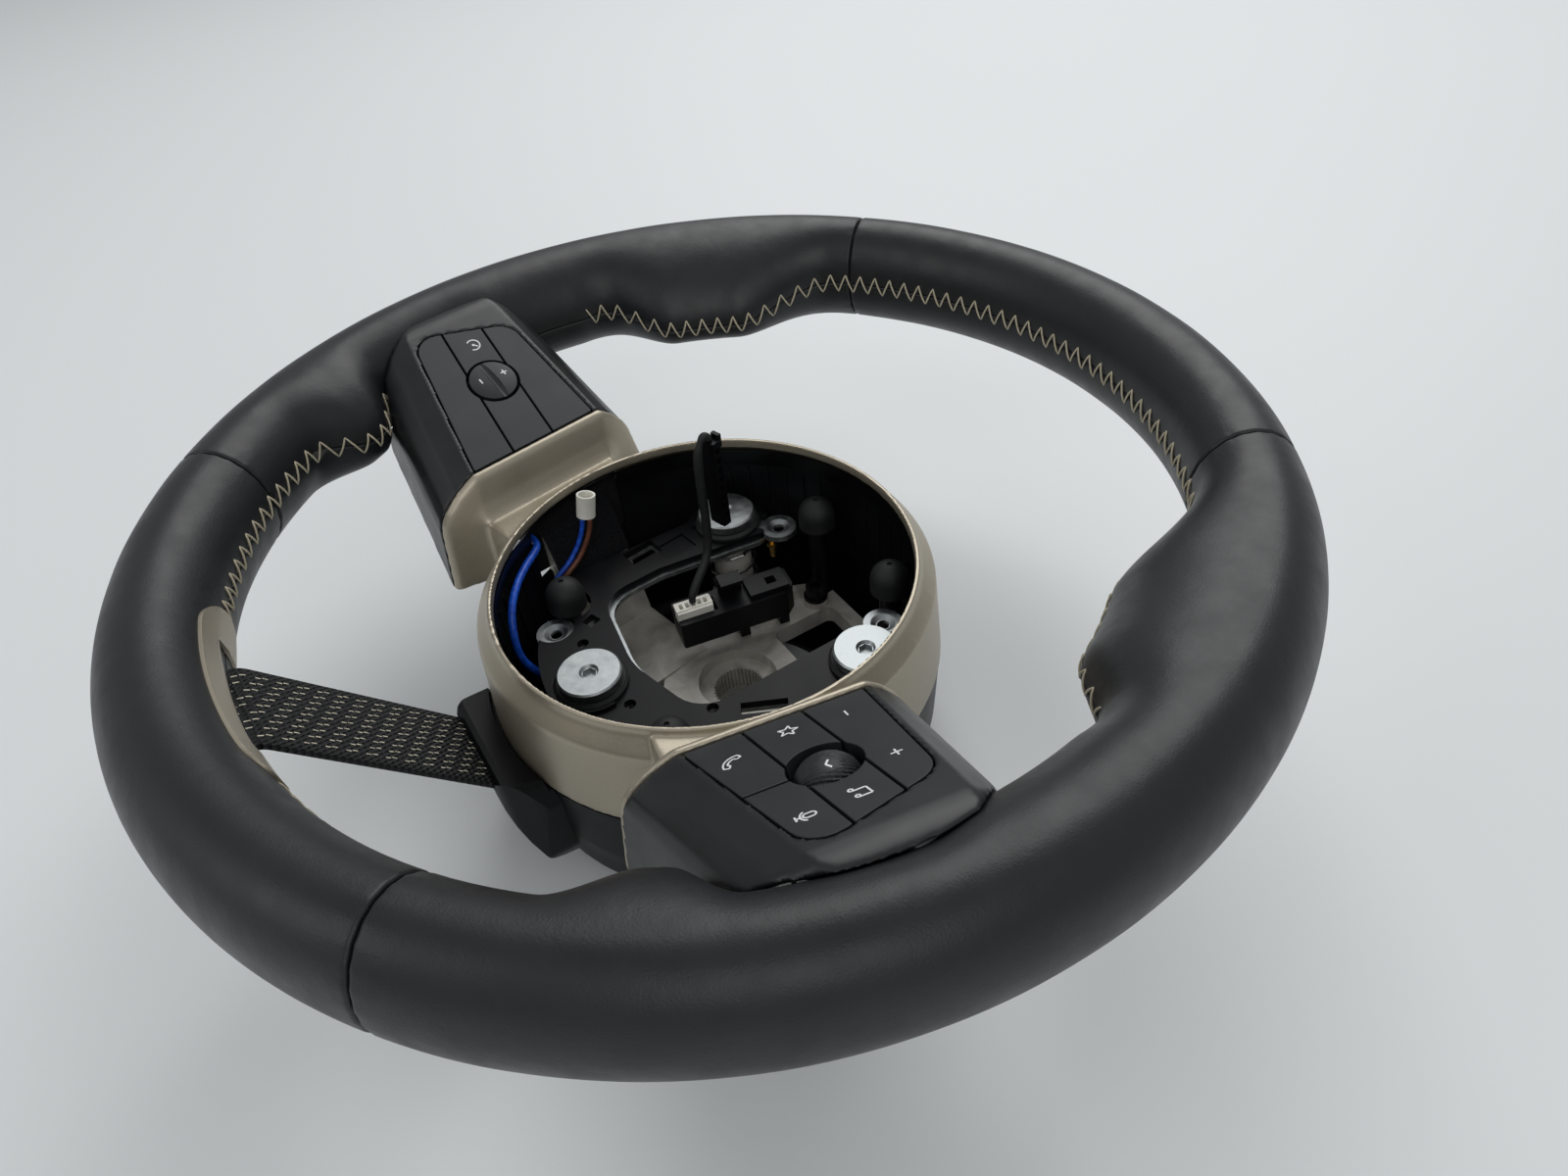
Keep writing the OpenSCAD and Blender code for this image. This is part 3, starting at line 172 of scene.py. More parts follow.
def fromHex(text):
    # sRGB hex turned linear
    channels = [int(text[i:i + 2], 16) / 255 for i in (1, 3, 5)]
    return [c / 12.92 if c <= 0.04045 else ((c + 0.055) / 1.055) ** 2.4 for c in channels] + [1.0]


def perMetre(millimetres):
    # how often a pattern of this size repeats in a metre
    return 1000 / millimetres


# Materials

def newMaterial(name, roughness, metallic=0.0, specular=0.5, coat=0.0, coatRoughness=0.1,
                sheen=0.0):
    material = bpy.data.materials.new(name)
    material.use_nodes = True
    tree = material.node_tree
    shader = tree.nodes["Principled BSDF"]
    shader.inputs["Roughness"].default_value = roughness
    shader.inputs["Metallic"].default_value = metallic
    shader.inputs["Specular IOR Level"].default_value = specular
    shader.inputs["Coat Weight"].default_value = coat
    shader.inputs["Coat Roughness"].default_value = coatRoughness
    shader.inputs["Sheen Weight"].default_value = sheen
    place = addNode(tree, "ShaderNodeTexCoord").outputs["Object"]
    return material, tree, shader, place


def colourBetween(tree, shader, factor, dark, light, low=0.35, high=0.65):
    ramp = addNode(tree, "ShaderNodeValToRGB", {"Fac": factor})
    ramp.color_ramp.elements[0].position = low
    ramp.color_ramp.elements[1].position = high
    ramp.color_ramp.elements[0].color = fromHex(dark)
    ramp.color_ramp.elements[1].color = fromHex(light)
    tree.links.new(ramp.outputs["Color"], shader.inputs["Base Color"])
    return ramp.outputs["Color"]


def roughnessBetween(tree, shader, factor, low, high):
    spread = addNode(tree, "ShaderNodeMapRange", {"Value": factor, "From Min": 0.3, "From Max": 0.7,
                                                 "To Min": low, "To Max": high})
    tree.links.new(spread.outputs["Result"], shader.inputs["Roughness"])


def bumpOn(tree, shader, height, depth, strength=1.0, under=None):
    inputs = {"Height": height, "Distance": depth, "Strength": strength}
    if under is not None:
        inputs["Normal"] = under
    bump = addNode(tree, "ShaderNodeBump", inputs)
    tree.links.new(bump.outputs["Normal"], shader.inputs["Normal"])
    return bump.outputs["Normal"]


def nappaLeather(name, dark, light):
    # corrected nappa leather, pigment finished: a fine pebbled grain and a soft sheen
    material, tree, shader, place = newMaterial(name, 0.4, specular=0.42)
    cloud = addNode(tree, "ShaderNodeTexNoise",
                    {"Vector": place, "Scale": perMetre(38), "Detail": 4.0})
    colourBetween(tree, shader, cloud.outputs["Fac"], dark, light)
    wear = addNode(tree, "ShaderNodeTexNoise",
                   {"Vector": place, "Scale": perMetre(9), "Detail": 5.0})
    roughnessBetween(tree, shader, wear.outputs["Fac"], 0.36, 0.46)
    # grain cells are about 0.5 mm, drawn 1 mm across so that they show
    cells = addNode(tree, "ShaderNodeTexVoronoi",
                    {"Vector": place, "Scale": perMetre(1.0), "Randomness": 0.9},
                    feature="DISTANCE_TO_EDGE")
    creases = bumpOn(tree, shader, cells.outputs["Distance"], 0.00012, 0.35)
    folds = addNode(tree, "ShaderNodeTexNoise",
                    {"Vector": place, "Scale": perMetre(4.5), "Detail": 3.0})
    bumpOn(tree, shader, folds.outputs["Fac"], 0.00025, 0.4, creases)
    return material


def mouldedPlastic(name, dark, light, roughness, grain=0.35, depth=0.00004, specular=0.45):
    # injection moulded plastic out of an eroded tool: an even fine grain
    material, tree, shader, place = newMaterial(name, roughness, specular=specular)
    cloud = addNode(tree, "ShaderNodeTexNoise",
                    {"Vector": place, "Scale": perMetre(12), "Detail": 3.0})
    colourBetween(tree, shader, cloud.outputs["Fac"], dark, light)
    spark = addNode(tree, "ShaderNodeTexNoise",
                    {"Vector": place, "Scale": perMetre(grain), "Detail": 2.0})
    bumpOn(tree, shader, spark.outputs["Fac"], depth, 0.5)
    roughnessBetween(tree, shader, cloud.outputs["Fac"], roughness - 0.03, roughness + 0.05)
    return material


def satinPaint(name, dark, light):
    # champagne metallic paint, satin: fine metal flake under a matt clear coat
    material, tree, shader, place = newMaterial(name, 0.4, metallic=0.7, coat=0.1,
                                                coatRoughness=0.35)
    flake = addNode(tree, "ShaderNodeTexVoronoi", {"Vector": place, "Scale": perMetre(0.25)})
    cloud = addNode(tree, "ShaderNodeTexNoise",
                    {"Vector": place, "Scale": perMetre(30), "Detail": 2.0})
    mixed = addNode(tree, "ShaderNodeMath",
                    {0: flake.outputs["Distance"], 1: cloud.outputs["Fac"]}, operation="ADD")
    colourBetween(tree, shader, mixed.outputs["Value"], dark, light, 0.3, 1.1)
    bumpOn(tree, shader, flake.outputs["Distance"], 0.00002, 0.12)
    roughnessBetween(tree, shader, cloud.outputs["Fac"], 0.36, 0.44)
    return material


def machinedMetal(name, dark, light, roughness, grain, depth, metallic=1.0):
    # a metal surface, its colour and gloss broken up by fine scratches or plating grain
    material, tree, shader, place = newMaterial(name, roughness, metallic=metallic)
    cloud = addNode(tree, "ShaderNodeTexNoise",
                    {"Vector": place, "Scale": perMetre(grain), "Detail": 4.0})
    colourBetween(tree, shader, cloud.outputs["Fac"], dark, light, 0.25, 0.75)
    roughnessBetween(tree, shader, cloud.outputs["Fac"], roughness - 0.06, roughness + 0.08)
    bumpOn(tree, shader, cloud.outputs["Fac"], depth, 0.4)
    return material


def castAlloy(name, dark, light):
    # die-cast aluminium or magnesium, as cast: flow marks, and pits a millimetre apart
    material, tree, shader, place = newMaterial(name, 0.5, metallic=0.3)
    flow = addNode(tree, "ShaderNodeTexNoise",
                   {"Vector": place, "Scale": perMetre(14), "Detail": 6.0, "Distortion": 1.5})
    colourBetween(tree, shader, flow.outputs["Fac"], dark, light, 0.3, 0.72)
    roughnessBetween(tree, shader, flow.outputs["Fac"], 0.42, 0.6)
    pits = addNode(tree, "ShaderNodeTexNoise",
                   {"Vector": place, "Scale": perMetre(1.1), "Detail": 3.0})
    bumpOn(tree, shader, pits.outputs["Fac"], 0.0002, 0.6)
    return material


def softRubber(name, dark, light, roughness=0.62):
    # moulded rubber: matt, with a faint bloom
    material, tree, shader, place = newMaterial(name, roughness, specular=0.4)
    bloom = addNode(tree, "ShaderNodeTexNoise",
                    {"Vector": place, "Scale": perMetre(5), "Detail": 4.0})
    colourBetween(tree, shader, bloom.outputs["Fac"], dark, light)
    bumpOn(tree, shader, bloom.outputs["Fac"], 0.00006, 0.3)
    return material


def circuitBoard(name):
    # glass-epoxy board: green solder resist over faint copper tracks
    material, tree, shader, place = newMaterial(name, 0.35, coat=0.2, coatRoughness=0.2)
    tracks = addNode(tree, "ShaderNodeTexBrick",
                     {"Vector": place, "Scale": perMetre(4), "Mortar Size": 0.04,
                      "Color1": fromHex("#1d5236"), "Color2": fromHex("#1a4a31"),
                      "Mortar": fromHex("#2f7a50")})
    tree.links.new(tracks.outputs["Color"], shader.inputs["Base Color"])
    bumpOn(tree, shader, tracks.outputs["Fac"], 0.00003, 0.4)
    return material


def insulation(name, dark, light, roughness=0.38):
    # extruded PVC wire insulation: smooth, with faint die lines
    material, tree, shader, place = newMaterial(name, roughness, specular=0.5)
    lines = addNode(tree, "ShaderNodeTexNoise",
                    {"Vector": place, "Scale": perMetre(2), "Detail": 2.0})
    colourBetween(tree, shader, lines.outputs["Fac"], dark, light)
    bumpOn(tree, shader, lines.outputs["Fac"], 0.00003, 0.3)
    return material


def polyesterThread(name):
    # twisted polyester sewing thread: plies that catch the light along its UV length, their colour
    # lighter on the crests as a painted highlight
    material, tree, shader, place = newMaterial(name, 0.55, sheen=0.15)
    along = addNode(tree, "ShaderNodeTexCoord").outputs["UV"]
    plies = addNode(tree, "ShaderNodeTexWave", {"Vector": along, "Scale": 6.0, "Distortion": 0.4},
                    wave_type="BANDS", bands_direction="DIAGONAL")
    # the thread's colour, lighter on the crests of the plies: a painted highlight
    colourBetween(tree, shader, plies.outputs["Fac"], "#b3a88d", "#ddd4ba", 0.2, 0.8)
    bumpOn(tree, shader, plies.outputs["Fac"], 0.00012, 0.7)
    return material


def knittedWebbing(name):
    # warp-knitted polyester webbing: charcoal loops in slanted rows, with champagne yarn laid in,
    # and a painted shade near black in the hollows between the loops; its sizes are in millimetres
    loopPitch, rowPitch, rowSlant = 1.7, 2.4, 1.6
    dashPitch, dashHalf, dashShift, yarnFrom, hem = 6.4, 0.13, 0.34, 1.24, 16.2
    material, tree, shader, place = newMaterial(name, 0.6, specular=0.35)
    cloth = addNode(tree, "ShaderNodeTexCoord").outputs["UV"]  # UV is in millimetres on the strap
    parts = addNode(tree, "ShaderNodeSeparateXYZ", {"Vector": cloth})
    u, v = parts.outputs["X"], parts.outputs["Y"]

    def maths(kind, a, b=0.0, c=0.0):
        return addNode(tree, "ShaderNodeMath", {0: a, 1: b, 2: c}, operation=kind).outputs["Value"]

    turn = 2 * math.pi
    across = maths("MULTIPLY", u, turn / (2 * loopPitch))
    row = maths("ADD", maths("MULTIPLY", v, turn / rowPitch), maths("MULTIPLY", u, rowSlant))
    loops = maths("MULTIPLY", maths("SINE", across), maths("SINE", row))
    ridge = maths("ADD", maths("MULTIPLY", loops, 0.5), 0.5)
    # the knit's tone follows the loops' height: charcoal on the tops, painted shade near black in
    # the hollows
    knitWithShade = colourBetween(tree, shader, ridge, "#040505", "#222327", 0.3, 0.95)
    # champagne dashes on slanted rows: one at every dashPitch, each column a third of a step on
    lane = maths("PINGPONG", maths("ADD", u, loopPitch), loopPitch)
    onLane = maths("GREATER_THAN", lane, yarnFrom)
    column = maths("FLOOR", maths("DIVIDE", maths("ADD", u, 20 * loopPitch), 2 * loopPitch))
    along = maths("ADD", maths("DIVIDE", v, dashPitch), maths("MULTIPLY", column, dashShift))
    middle = maths("SUBTRACT", maths("FRACT", along), 0.5)
    onDash = maths("LESS_THAN", maths("ABSOLUTE", middle), dashHalf)
    inside = maths("LESS_THAN", maths("ABSOLUTE", u), hem)
    dash = maths("MULTIPLY", maths("MULTIPLY", onLane, onDash), inside)
    mixed = addNode(tree, "ShaderNodeMix", {"Factor": dash}, data_type="RGBA")
    tree.links.new(knitWithShade, mixed.inputs["A"])
    mixed.inputs["B"].default_value = fromHex("#d6cfbb")
    tree.links.new(mixed.outputs["Result"], shader.inputs["Base Color"])
    height = maths("ADD", ridge, maths("MULTIPLY", dash, 0.6))
    bumpOn(tree, shader, height, 0.0009, 1.0)
    return material


def paintedShadeFelt(name):
    # black needled felt look for painted shade: matt and hairy, it swallows the light
    material, tree, shader, place = newMaterial(name, 0.95, specular=0.1, sheen=0.08)
    hair = addNode(tree, "ShaderNodeTexNoise",
                   {"Vector": place, "Scale": perMetre(0.8), "Detail": 5.0})
    colourBetween(tree, shader, hair.outputs["Fac"], "#08080a", "#17181b")
    bumpOn(tree, shader, hair.outputs["Fac"], 0.0004, 0.8)
    return material


def padPrint(name):
    # white pad printing ink, slightly see-through at the edge of the print
    material, tree, shader, place = newMaterial(name, 0.5)
    ink = addNode(tree, "ShaderNodeTexNoise",
                  {"Vector": place, "Scale": perMetre(0.6), "Detail": 2.0})
    colourBetween(tree, shader, ink.outputs["Fac"], "#d7d9da", "#f2f3f3")
    return material


materials = {
    "leather": nappaLeather("nappaLeather", "#141518", "#1b1c1f"),
    "foam": softRubber("polyurethaneFoam", "#3a3a38", "#4a4a48", 0.85),
    "champagne_paint": satinPaint("champagneSatinPaint", "#8b8373", "#aea594"),
    "webbing": knittedWebbing("knittedWebbing"),
    "black_moulding": mouldedPlastic("blackPolyamide", "#090a0c", "#0f1013", 0.36, specular=0.15),
    "satin_black": mouldedPlastic("satinBlackAbs", "#131416", "#191a1d", 0.36, 0.3, 0.00002),
    "key_plastic": mouldedPlastic("softTouchKeyPlastic", "#17191c", "#1d2023", 0.5, 0.3, 0.00002),
    "circuit_board": circuitBoard("glassEpoxyBoard"),
    "grey_rubber": softRubber("greySilicone", "#5f6162", "#727475"),
    "black_rubber": softRubber("blackNitrileRubber", "#121314", "#1b1c1d"),
    "cast_alloy": castAlloy("dieCastAlloy", "#a19e97", "#c9c6be"),
    "zinc_steel": machinedMetal("zincPlatedSteel", "#8f9496", "#b4b8b8", 0.42, 3, 0.00004),
    "pin_steel": machinedMetal("groundSteelPin", "#a9abad", "#d0d2d3", 0.25, 1.2, 0.00002),
    "dark_steel": machinedMetal("blackOxideSteel", "#2a2a2b", "#434344", 0.42, 1.6, 0.00003),
    "brass": machinedMetal("turnedBrass", "#a98545", "#d3ae66", 0.3, 1.4, 0.00002),
    "white_moulding": mouldedPlastic("naturalNylon", "#c9c7bd", "#e2e0d7", 0.45),
    "brown_wire": insulation("brownInsulation", "#5a3322", "#77452f"),
    "blue_wire": insulation("blueInsulation", "#0f3fa8", "#1c5ad0"),
}
threadMaterial = polyesterThread("polyesterThread")
printMaterial = padPrint("whitePadPrint")
# a dark felt-look material, laid over the arm passages as painted shade
paintedShadeMaterial = paintedShadeFelt("paintedShadeSheet")

for entry in frame["record"]["subparts"]:
    mesh = nodes[entry["node"]].data
    mesh.materials.clear()
    mesh.materials.append(materials[entry["material_slot"]])
print("materials are on the CAD nodes")


def finishPiece(obj, body, slot, *replaced, material=None):
    obj.data.materials.clear()
    obj.data.materials.append(material or materials[slot])
    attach(obj, body)
    if replaced:
        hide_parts(*replaced)
    return obj


# Leather rim: four panels, each a sheet wrapped round the foam and closed on the inner side

rim = {
    "radius": 168.3, "width": 33.4, "height": 42.4, "plane": 114.0, "leather": 1.1,
    # depth in millimetres, then start, rise, end and fall in degrees up from the side
    "thumbRest": (22, 8, 15, 51, 17), "spokeRoot": (6.5, -12, 7, 15, 8),
    "wing": (12, -43, 8, -26, 7), "droop": 9,
    "seamAngle": 37, "seamGap": 0.4, "edgeRound": 1.1, "sideRound": 0.9,
    "pucker": 0.28, "puckerPitch": 5.2, "puckerReach": 2.6,
    "pull": 0.35, "pullPitch": 7.0, "pullReach": 3.0, "waviness": 0.12, "waveLength": 26,
    "girthRadius": 19.2, "columns": 76, "rowPitch": 2.2, "under": 0.05,
}


def sideAngle(turn):
    # angle up from the nearer side of the wheel, the same left and right
    t = (turn + 450) % 360 - 90
    return t if t <= 90 else 180 - t


def swellAt(turn):
    # how far the inner side stands out: thumb rests, spoke roots and wings beside the lower seams
    a = sideAngle(turn)
    swells = rim["thumbRest"], rim["spokeRoot"], rim["wing"]
    return sum(depth * smoothStep((a - start) / rise) * smoothStep((end - a) / fall)
               for depth, start, rise, end, fall in swells)


def rimPoint(turn, angle):
    # a point of the rim's surface, in millimetres; angle 180 faces the hub
    bulge = swellAt(turn)
    c, s = math.cos(math.radians(angle)), math.sin(math.radians(angle))
    halfWidth = rim["width"] / 2 + (bulge if c < 0 else 0)
    sink = rim["droop"] * bulge / rim["thumbRest"][0] * c * c if c < 0 else 0
    r = rim["radius"] + halfWidth * c
    z = rim["plane"] + rim["height"] / 2 * s - sink
    t = math.radians(turn)
    return Vector((r * math.cos(t), r * math.sin(t), z))


def rimNormal(turn, angle):
    d = 0.15
    along = rimPoint(turn + d, angle) - rimPoint(turn - d, angle)
    around = rimPoint(turn, angle + d) - rimPoint(turn, angle - d)
    return along.cross(around).normalized()


def easedPlaces(length, steps):
    # distances along a strip of this length: fine rows at both edges, even rows between
    edge = [0, 0.12, 0.3, 0.55, 0.85, 1.2, 1.7, 2.4, 3.4, 4.8]
    inner = [edge[-1] + (length - 2 * edge[-1]) * i / steps for i in range(1, steps)]
    return edge + inner + [length - e for e in reversed(edge)]


def wrappedPanel(name, first, last):
    length = math.radians(last - first) * rim["radius"]
    rows = easedPlaces(length, int(length / rim["rowPitch"]))
    around = 2 * math.pi * rim["girthRadius"]
    columns = easedPlaces(around, rim["columns"])
    bpy.ops.mesh.primitive_grid_add(x_subdivisions=len(columns) - 1, y_subdivisions=len(rows) - 1,
                                    size=1)
    panel = bpy.context.object
    panel.name = name
    width = len(columns)
    for index, vertex in enumerate(panel.data.vertices):
        along, across = rows[index // width], columns[index % width]
        turn = first + (last - first) * along / length
        angle = -180 + 360 * across / around
        endGap = min(along, length - along)
        sideGap = min(across, around - across)
        depth = 0.0
        for gap, radius in ((endGap, rim["edgeRound"]), (sideGap, rim["sideRound"])):
            if gap < radius:
                depth += radius * (1 - math.sqrt(1 - (1 - gap / radius) ** 2))
        wave = 0.5 + 0.5 * math.cos(2 * math.pi * across / rim["puckerPitch"])
        depth += rim["pucker"] * wave * math.exp(-endGap / rim["puckerReach"])
        wave = 0.5 + 0.5 * math.cos(2 * math.pi * along / rim["pullPitch"])
        depth += rim["pull"] * math.exp(-sideGap / rim["pullReach"]) * (0.6 + 0.4 * wave)
        point = rimPoint(turn, angle)
        ripple = noise.noise(point / rim["waveLength"]) * rim["waviness"]
        point -= rimNormal(turn, angle) * (depth + ripple + rim["under"])
        vertex.co = point / 1000
    panel.data.update()
    faceOutwards(panel)
    # the outside faces away from the section's middle
    face = panel.data.polygons[len(panel.data.polygons) // 2]
    turn = math.atan2(face.center.y, face.center.x)
    middle = Vector((math.cos(turn), math.sin(turn), 0)) * rim["radius"] / 1000
    middle.z = rim["plane"] / 1000
    if (face.center - middle).dot(face.normal) < 0:
        panel.data.flip_normals()
    wall = panel.modifiers.new("thickness", "SOLIDIFY")
    wall.thickness = rim["leather"] / 1000
    wall.offset = -1
    applyAll(panel)
    smoothByAngle(panel, 50)
    return panel


halfGap = math.degrees(rim["seamGap"] / 2 / rim["radius"])
seam = rim["seamAngle"]
panelSpans = {"leather_right": (seam - 90, 90 - seam), "leather_top": (90 - seam, 90 + seam),
              "leather_left": (90 + seam, 270 - seam), "leather_bottom": (270 - seam, 270 + seam)}
for node, (first, last) in panelSpans.items():
    panel = wrappedPanel(camelName(node), first + halfGap, last - halfGap)
    finishPiece(panel, "wheel", "leather", node)
print("leather panels are wrapped")


# Zigzag stitches along the inner side of the rim

stitches = {"pitch": 6.6, "reach": 3.6, "thread": 0.36, "sink": 0.25, "girthRadius": 19.5,
            "steps": 5, "sides": 6, "runs": ((14, 172), (188, 255), (285, 344))}


def sewStitches():
    # threads as short bent tubes, each from one hole to the next on the other side of the groove
    steps, sides = stitches["steps"], stitches["sides"]
    mesh = bpy.data.meshes.new("zigzagStitches")
    build = bmesh.new()
    uvLayer = build.loops.layers.uv.new("length")
    for first, last in stitches["runs"]:
        turn = first
        side = 1
        holes = []
        while turn < last:
            radius = rim["radius"] - rim["width"] / 2 - swellAt(turn)
            holes.append((turn, side))
            turn += math.degrees(stitches["pitch"] / 2 / radius)
            side = -side
        for (turnA, sideA), (turnB, sideB) in zip(holes, holes[1:]):
            line = []
            for i in range(steps + 1):
                f = i / steps
                turn = turnA + (turnB - turnA) * f
                reach = (sideA + (sideB - sideA) * f) * stitches["reach"]
                angle = 180 - math.degrees(reach / stitches["girthRadius"])
                # the thread bows out in the middle and dives into its holes
                rise = stitches["thread"] * (1.1 - 2.4 * abs(f - 0.5) ** 3 * 8 * 0.6)
                out = rimNormal(turn, angle) * (rise - stitches["sink"])
                line.append(rimPoint(turn, angle) + out)
            rings = []
            for i, point in enumerate(line):
                ahead = (line[min(i + 1, steps)] - line[max(i - 1, 0)]).normalized()
                side1 = ahead.cross(Vector((0, 0, 1))).normalized()
                side2 = ahead.cross(side1)
                slim = stitches["thread"] * (0.75 if i in (0, steps) else 1.0)
                ring = []
                for k in range(sides):
                    a = k * 2 * math.pi / sides
                    away = (side1 * math.cos(a) + side2 * math.sin(a)) * slim
                    ring.append(build.verts.new((point + away) / 1000))
                rings.append(ring)
            for i in range(steps):
                for k in range(sides):
                    corners = ((i, k), (i, k + 1), (i + 1, k + 1), (i + 1, k))
                    face = build.faces.new([rings[a][b % sides] for a, b in corners])
                    for loop, (a, b) in zip(face.loops, corners):
                        loop[uvLayer].uv = (a / steps, b / sides)
            build.faces.new(list(reversed(rings[0])))
            build.faces.new(rings[steps])
    bmesh.ops.recalc_face_normals(build, faces=build.faces)
    build.to_mesh(mesh)
    build.free()
    for polygon in mesh.polygons:
        polygon.use_smooth = True
    finishPiece(newObject("zigzagStitches", mesh), "wheel", "leather", material=threadMaterial)


sewStitches()
print("zigzag stitches are sewn")


# Woven strap that stands for the lower spoke

strap = {"width": 35.0, "thick": 2.2, "columns": 16, "rows": 60, "edgeRound": 0.6,
         "soften": (-3, -1.5, 1.5, 3), "softShare": 0.8,
         "line": ((-159.6, 112), (-149.6, 112), (-96.3, 50), (-89.3, 47))}


def strapPiece():
    line = [Vector((0, y, z)) for y, z in strap["line"]]
    lengths = [(b - a).length for a, b in zip(line, line[1:])]
    total = sum(lengths)
    columns, rows = strap["columns"], strap["rows"]
    bpy.ops.mesh.primitive_grid_add(x_subdivisions=columns, y_subdivisions=rows, size=1)
    piece = bpy.context.object
    piece.name = "wovenStrap"

    def along(distance):
        # the place on the line at this distance, with sharp bends
        for a, b, length in zip(line, line[1:], lengths):
            if distance <= length + 1e-6:
                return a + (b - a) * distance / length
            distance -= length
        return line[-1]

    marks = []
    for index, vertex in enumerate(piece.data.vertices):
        row, column = divmod(index, columns + 1)
        u, v = (column / columns - 0.5) * strap["width"], row / rows * total
        near = [along(max(0, min(total, v + d))) for d in strap["soften"]]
        softened = sum(near, Vector()) / len(near) * strap["softShare"]
        vertex.co = (along(v) * (1 - strap["softShare"]) + softened + Vector((u, 0, 0))) / 1000
        marks.append((u, v))
    uvLayer = piece.data.uv_layers.active or piece.data.uv_layers.new(name="cloth")
    for loop in piece.data.loops:
        uvLayer.data[loop.index].uv = marks[loop.vertex_index]
    wall = piece.modifiers.new("thickness", "SOLIDIFY")
    wall.thickness = strap["thick"] / 1000
    wall.offset = 0
    wall.use_even_offset = True
    bevelEdges(piece, strap["edgeRound"] / 1000, 2, sharpAngle=50)
    applyAll(piece)
    smoothByAngle(piece, 45)
    return piece, total


strapObject, strapLength = strapPiece()
finishPiece(strapObject, "wheel", "webbing", "strap")
print("the strap is woven,", round(strapLength, 1), "mm long")


# Frames of the switch plates and the arms under them, as the CAD sets them up

plate = {"x": 85.1, "y": -29.25, "z": 102.5, "yaw": 10.5, "rise": 25.0}


def plateMatrix(side, rise=plate["rise"]):
    # from a plate's own millimetres to the wheel's metres, mirrored for the left side
    move = Matrix.Translation(Vector((plate["x"], plate["y"], plate["z"])))
    yaw = Matrix.Rotation(math.radians(-plate["yaw"]), 4, "Z")
    whole = move @ yaw @ Matrix.Rotation(math.radians(-rise), 4, "Y")
    if side < 0:
        whole = Matrix.Scale(-1, 4, Vector((1, 0, 0))) @ whole
    return Matrix.Scale(0.001, 4) @ whole


# Copies of the sharp-edged CAD keys and mouldings, their edges rounded by these millimetres

rounded = {
    "keys": 0.3,
    "keyNodes": ("mode_key", "distance_key", "blank_key", "set_key", "phone_key", "voice_key",
                 "favourite_key", "media_key", "volume_rocker", "speed_rocker"),
    "others": {"carrier_plate": 0.4, "control_box": 0.5, "module_plug": 0.2, "board_plug": 0.25,
               "rim_trim": 0.6, "carrier_steel": 0.25},
    "segments": 2, "flatAngle": 0.6, "shadeAngle": 40,
}
slotOf = {entry["node"]: entry["material_slot"] for entry in frame["record"]["subparts"]}


def roundedCopy(node, body, radius):
    piece = mergedCopy(node, camelName(node))
    editWhole(piece, bpy.ops.mesh.dissolve_limited, angle_limit=math.radians(rounded["flatAngle"]))
    bevelEdges(piece, radius / 1000, rounded["segments"])
    applyAll(piece)
    smoothByAngle(piece, rounded["shadeAngle"])
    even = piece.modifiers.new("even", "WEIGHTED_NORMAL")
    even.keep_sharp = True
    applyAll(piece)
    return finishPiece(piece, body, slotOf[node], node)


for node in rounded["keyNodes"]:
    roundedCopy(node, node, rounded["keys"])["wheelKey"] = node
for node, radius in rounded["others"].items():
    roundedCopy(node, "carrier" if node.startswith("carrier") else "wheel", radius)
print("keys and mouldings have rounded edges")


# Soft-edged shells: the housings and the bezel's flared caps have large moulded radii

shell = {"voxel": 0.75, "passes": 14, "shadeAngle": 42, "fieldGrow": 2.0, "fieldFade": 2.5,
         "plateDepth": 14, "rootFrom": 1, "rootFade": 3, "capsFrom": 82.5, "capsFade": 3}
plateCorners = ((0, -27.3), (65.1, -12.7), (52.8, 24.6), (0, 26.6))


def outsidePlate(point, side):
    # how far a point lies outside the field of the keys, in the plate's own plane
    local = plateMatrix(side).inverted() @ point
    far = -1000.0
    for (x0, y0), (x1, y1) in zip(plateCorners, plateCorners[1:] + plateCorners[:1]):
        edge = math.hypot(x1 - x0, y1 - y0)
        far = max(far, ((y1 - y0) * (local.x - x0) - (x1 - x0) * (local.y - y0)) / edge)
    return far, local


def housingWeight(side):
    # how much each place is softened: not the field of the keys, nor the end at the hub
    def weight(point):
        far, local = outsidePlate(point, side)
        root = smoothStep((local.x - shell["rootFrom"]) / shell["rootFade"])
        if local.z <= -shell["plateDepth"]:
            return root
        return smoothStep((far - shell["fieldGrow"]) / shell["fieldFade"]) * root
    return weight


def bezelWeight(point):
    # the flared caps are softened, the turned ring inside them isn't
    r = math.hypot(point.x, point.y) * 1000
    return smoothStep((r - shell["capsFrom"]) / shell["capsFade"])


def softenedCopy(node, weight, keptShare):
    piece = mergedCopy(node, camelName(node))
    net = piece.modifiers.new("net", "REMESH")
    net.mode = "VOXEL"
    net.voxel_size = shell["voxel"] / 1000
    applyAll(piece)
    group = piece.vertex_groups.new(name="soft")
    for vertex in piece.data.vertices:
        group.add([vertex.index], weight(vertex.co), "REPLACE")
    soft = piece.modifiers.new("soft", "SMOOTH")
    soft.factor = 0.5
    soft.iterations = shell["passes"]
    soft.vertex_group = "soft"
    fewer = piece.modifiers.new("fewer", "DECIMATE")
    fewer.ratio = keptShare
    applyAll(piece)
    piece.vertex_groups.clear()
    smoothByAngle(piece, shell["shadeAngle"])
    finishPiece(piece, "wheel", slotOf[node], node)


softenedCopy("switch_housing_right", housingWeight(1), 0.6)
softenedCopy("switch_housing_left", housingWeight(-1), 0.6)
softenedCopy("hub_bezel", bezelWeight, 0.5)
print("housings and bezel are softened")


# Knurled scroll roller: a barrel with a small smooth pad, its teeth leaning round it

